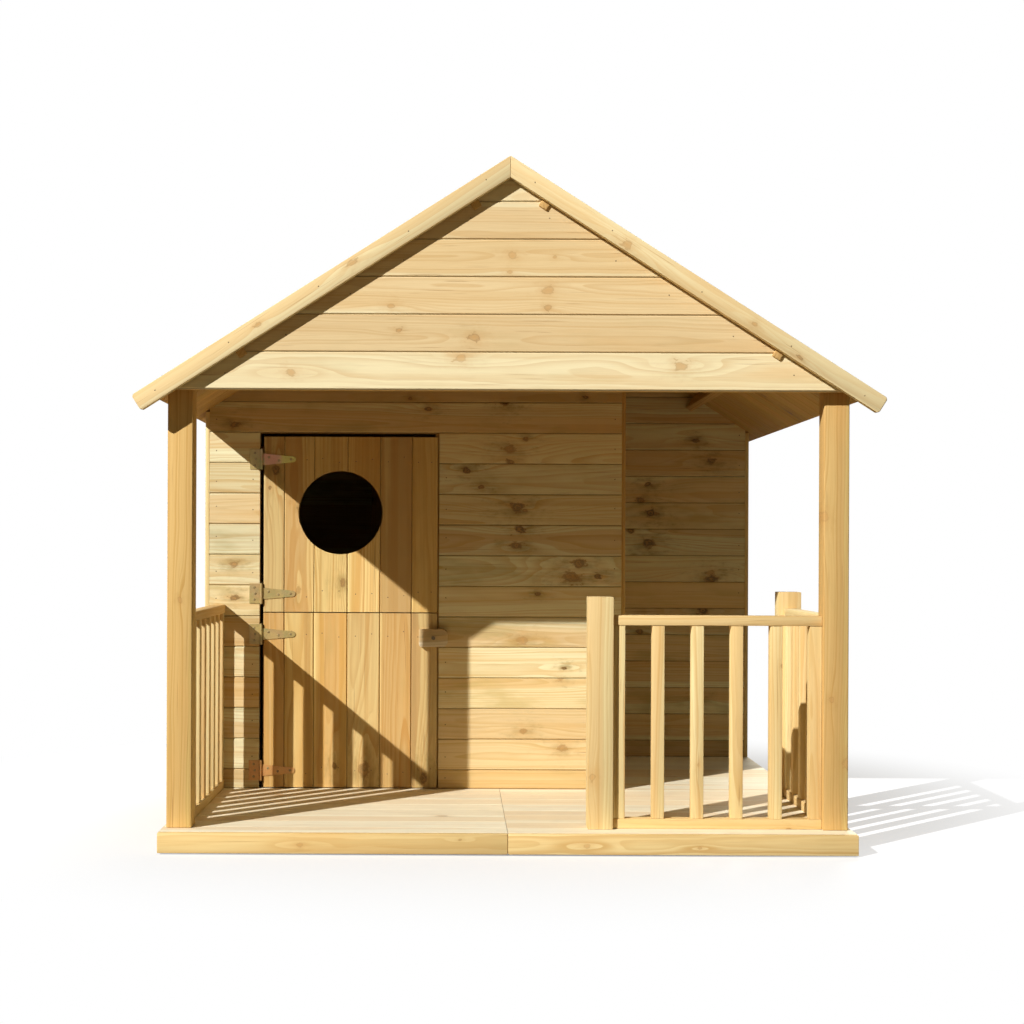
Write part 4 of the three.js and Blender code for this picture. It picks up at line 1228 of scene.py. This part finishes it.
def make_leaf_nails(leaf):
    """Two nails through each board of a leaf into its top and bottom battens."""
    low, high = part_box(f"{leaf}_door_boards")
    batten_low, batten_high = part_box(f"{leaf}_door_battens")
    rng = random.Random(5)
    heads = Heads(f"{leaf}_leaf_nails")
    for start, end in zip(BOARD_EDGE_SHARES, BOARD_EDGE_SHARES[1:]):
        for across in (0.25, 0.75):
            x = low.x + (start + across * (end - start)) * (high.x - low.x)
            for z in (batten_low.z + LEAF_BATTEN / 2, batten_high.z - LEAF_BATTEN / 2):
                heads.add((x, low.y, z + rng.uniform(-NAIL_STRAY, NAIL_STRAY)), LEAF_NAIL)
    heads.finish(nail_metal, nodes[f"{leaf}_door_boards"]["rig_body"])


def dress_metal():
    metals = {"hinge_crossplate": hinge_metal, "hinge_strap": hinge_metal, "hinge_pin": screw_metal,
              "turn_button_screw": button_screw_metal}
    for name, node in nodes.items():
        for start, material in metals.items():
            if name.startswith(start):
                node.data.materials.clear()
                node.data.materials.append(material)


# Studio: a pale floor, a white background, a sun from the front left and a soft one from behind
GROUND_REACH = 30
GROUND_DROP = 0.0005
GROUND = (0.92, 0.92, 0.92, 1)
GROUND_BOUNCE = (0.15, 0.11, 0.06, 1)
FADE_FROM, FADE_TO = 0.9, 1.9  # distances from the middle over which it turns white
FIRST_WHITE_SHARE = 0.3
WHITE = (1, 1, 1, 1)
SKY_WARM = (1.0, 0.88, 0.58, 1)
SKY_LIGHT = 0.11


def seen_straight(g):
    """1 on rays from the camera, and on those that metal or glass sends on."""
    path = g.node("ShaderNodeLightPath").outputs
    sent_on = g.greatest(path["Is Glossy Ray"], path["Is Transmission Ray"])
    return g.greatest(path["Is Camera Ray"], sent_on)


def add_floor():
    """Pale, and whiter with the distance. What it throws back on the object is darker and warmer."""
    mesh = bpy.data.meshes.new("studio_floor")
    corners = rectangle(-GROUND_REACH, GROUND_REACH, -GROUND_REACH, GROUND_REACH)
    mesh.from_pydata([(x, y, 0) for x, y in corners], [], [(0, 1, 2, 3)])
    floor = add_object("studio_floor", mesh)
    floor.location.z = -GROUND_DROP
    material, g = new_material("studio_floor")
    place = g.node("ShaderNodeNewGeometry").outputs["Position"]
    distance = g.node("ShaderNodeVectorMath", {0: place}, operation="LENGTH").outputs["Value"]
    far = g.remap(distance, FADE_FROM, FADE_TO, FIRST_WHITE_SHARE, 1.0)
    seen = seen_straight(g)
    pale = g.node("ShaderNodeBsdfDiffuse", {"Color": g.mix(seen, GROUND_BOUNCE, GROUND)})
    white = g.node("ShaderNodeEmission", {"Color": WHITE, "Strength": 1.0})
    mixed = g.node("ShaderNodeMixShader", {0: g.times(far, seen), 1: pale.outputs[0], 2: white.outputs[0]})
    g.node("ShaderNodeOutputMaterial", {"Surface": mixed.outputs[0]})
    mesh.materials.append(material)


def add_world():
    """White where it is seen, and a low warm light on the object."""
    world = bpy.data.worlds.new("studio")
    bpy.context.scene.world = world
    world.use_nodes = True
    world.node_tree.nodes.clear()
    g = Graph(world.node_tree)
    seen = seen_straight(g)
    strength = g.plus(SKY_LIGHT, g.times(seen, 1.0 - SKY_LIGHT))
    background = g.node("ShaderNodeBackground", {"Color": g.mix(seen, SKY_WARM, WHITE), "Strength": strength})
    g.node("ShaderNodeOutputWorld", {"Surface": background.outputs[0]})


def add_sun(name, towards, strength, softness):
    data = bpy.data.lights.new(name, "SUN")
    data.energy = strength
    data.angle = math.radians(softness)
    sun = add_object(name, data)
    sun.rotation_euler = Vector(towards).to_track_quat("Z", "Y").to_euler()


bpy.context.scene.view_settings.view_transform = "Standard"
add_floor()
add_world()
add_sun("key", towards=(-1.0, -1.0, 0.823), strength=4.95, softness=0.6)
add_sun("back_light", towards=(0.2, 1.0, 0.9), strength=1.9, softness=20)
make_walls()
make_roof()
make_bargeboards()
make_roof_battens()
make_floor()
make_posts()
make_railings()
make_frames()
make_leaf("upper", 101)
make_leaf("lower", 102)
make_button()
make_hinge_screws()
make_nails()
make_leaf_nails("upper")
make_leaf_nails("lower")
dress_metal()
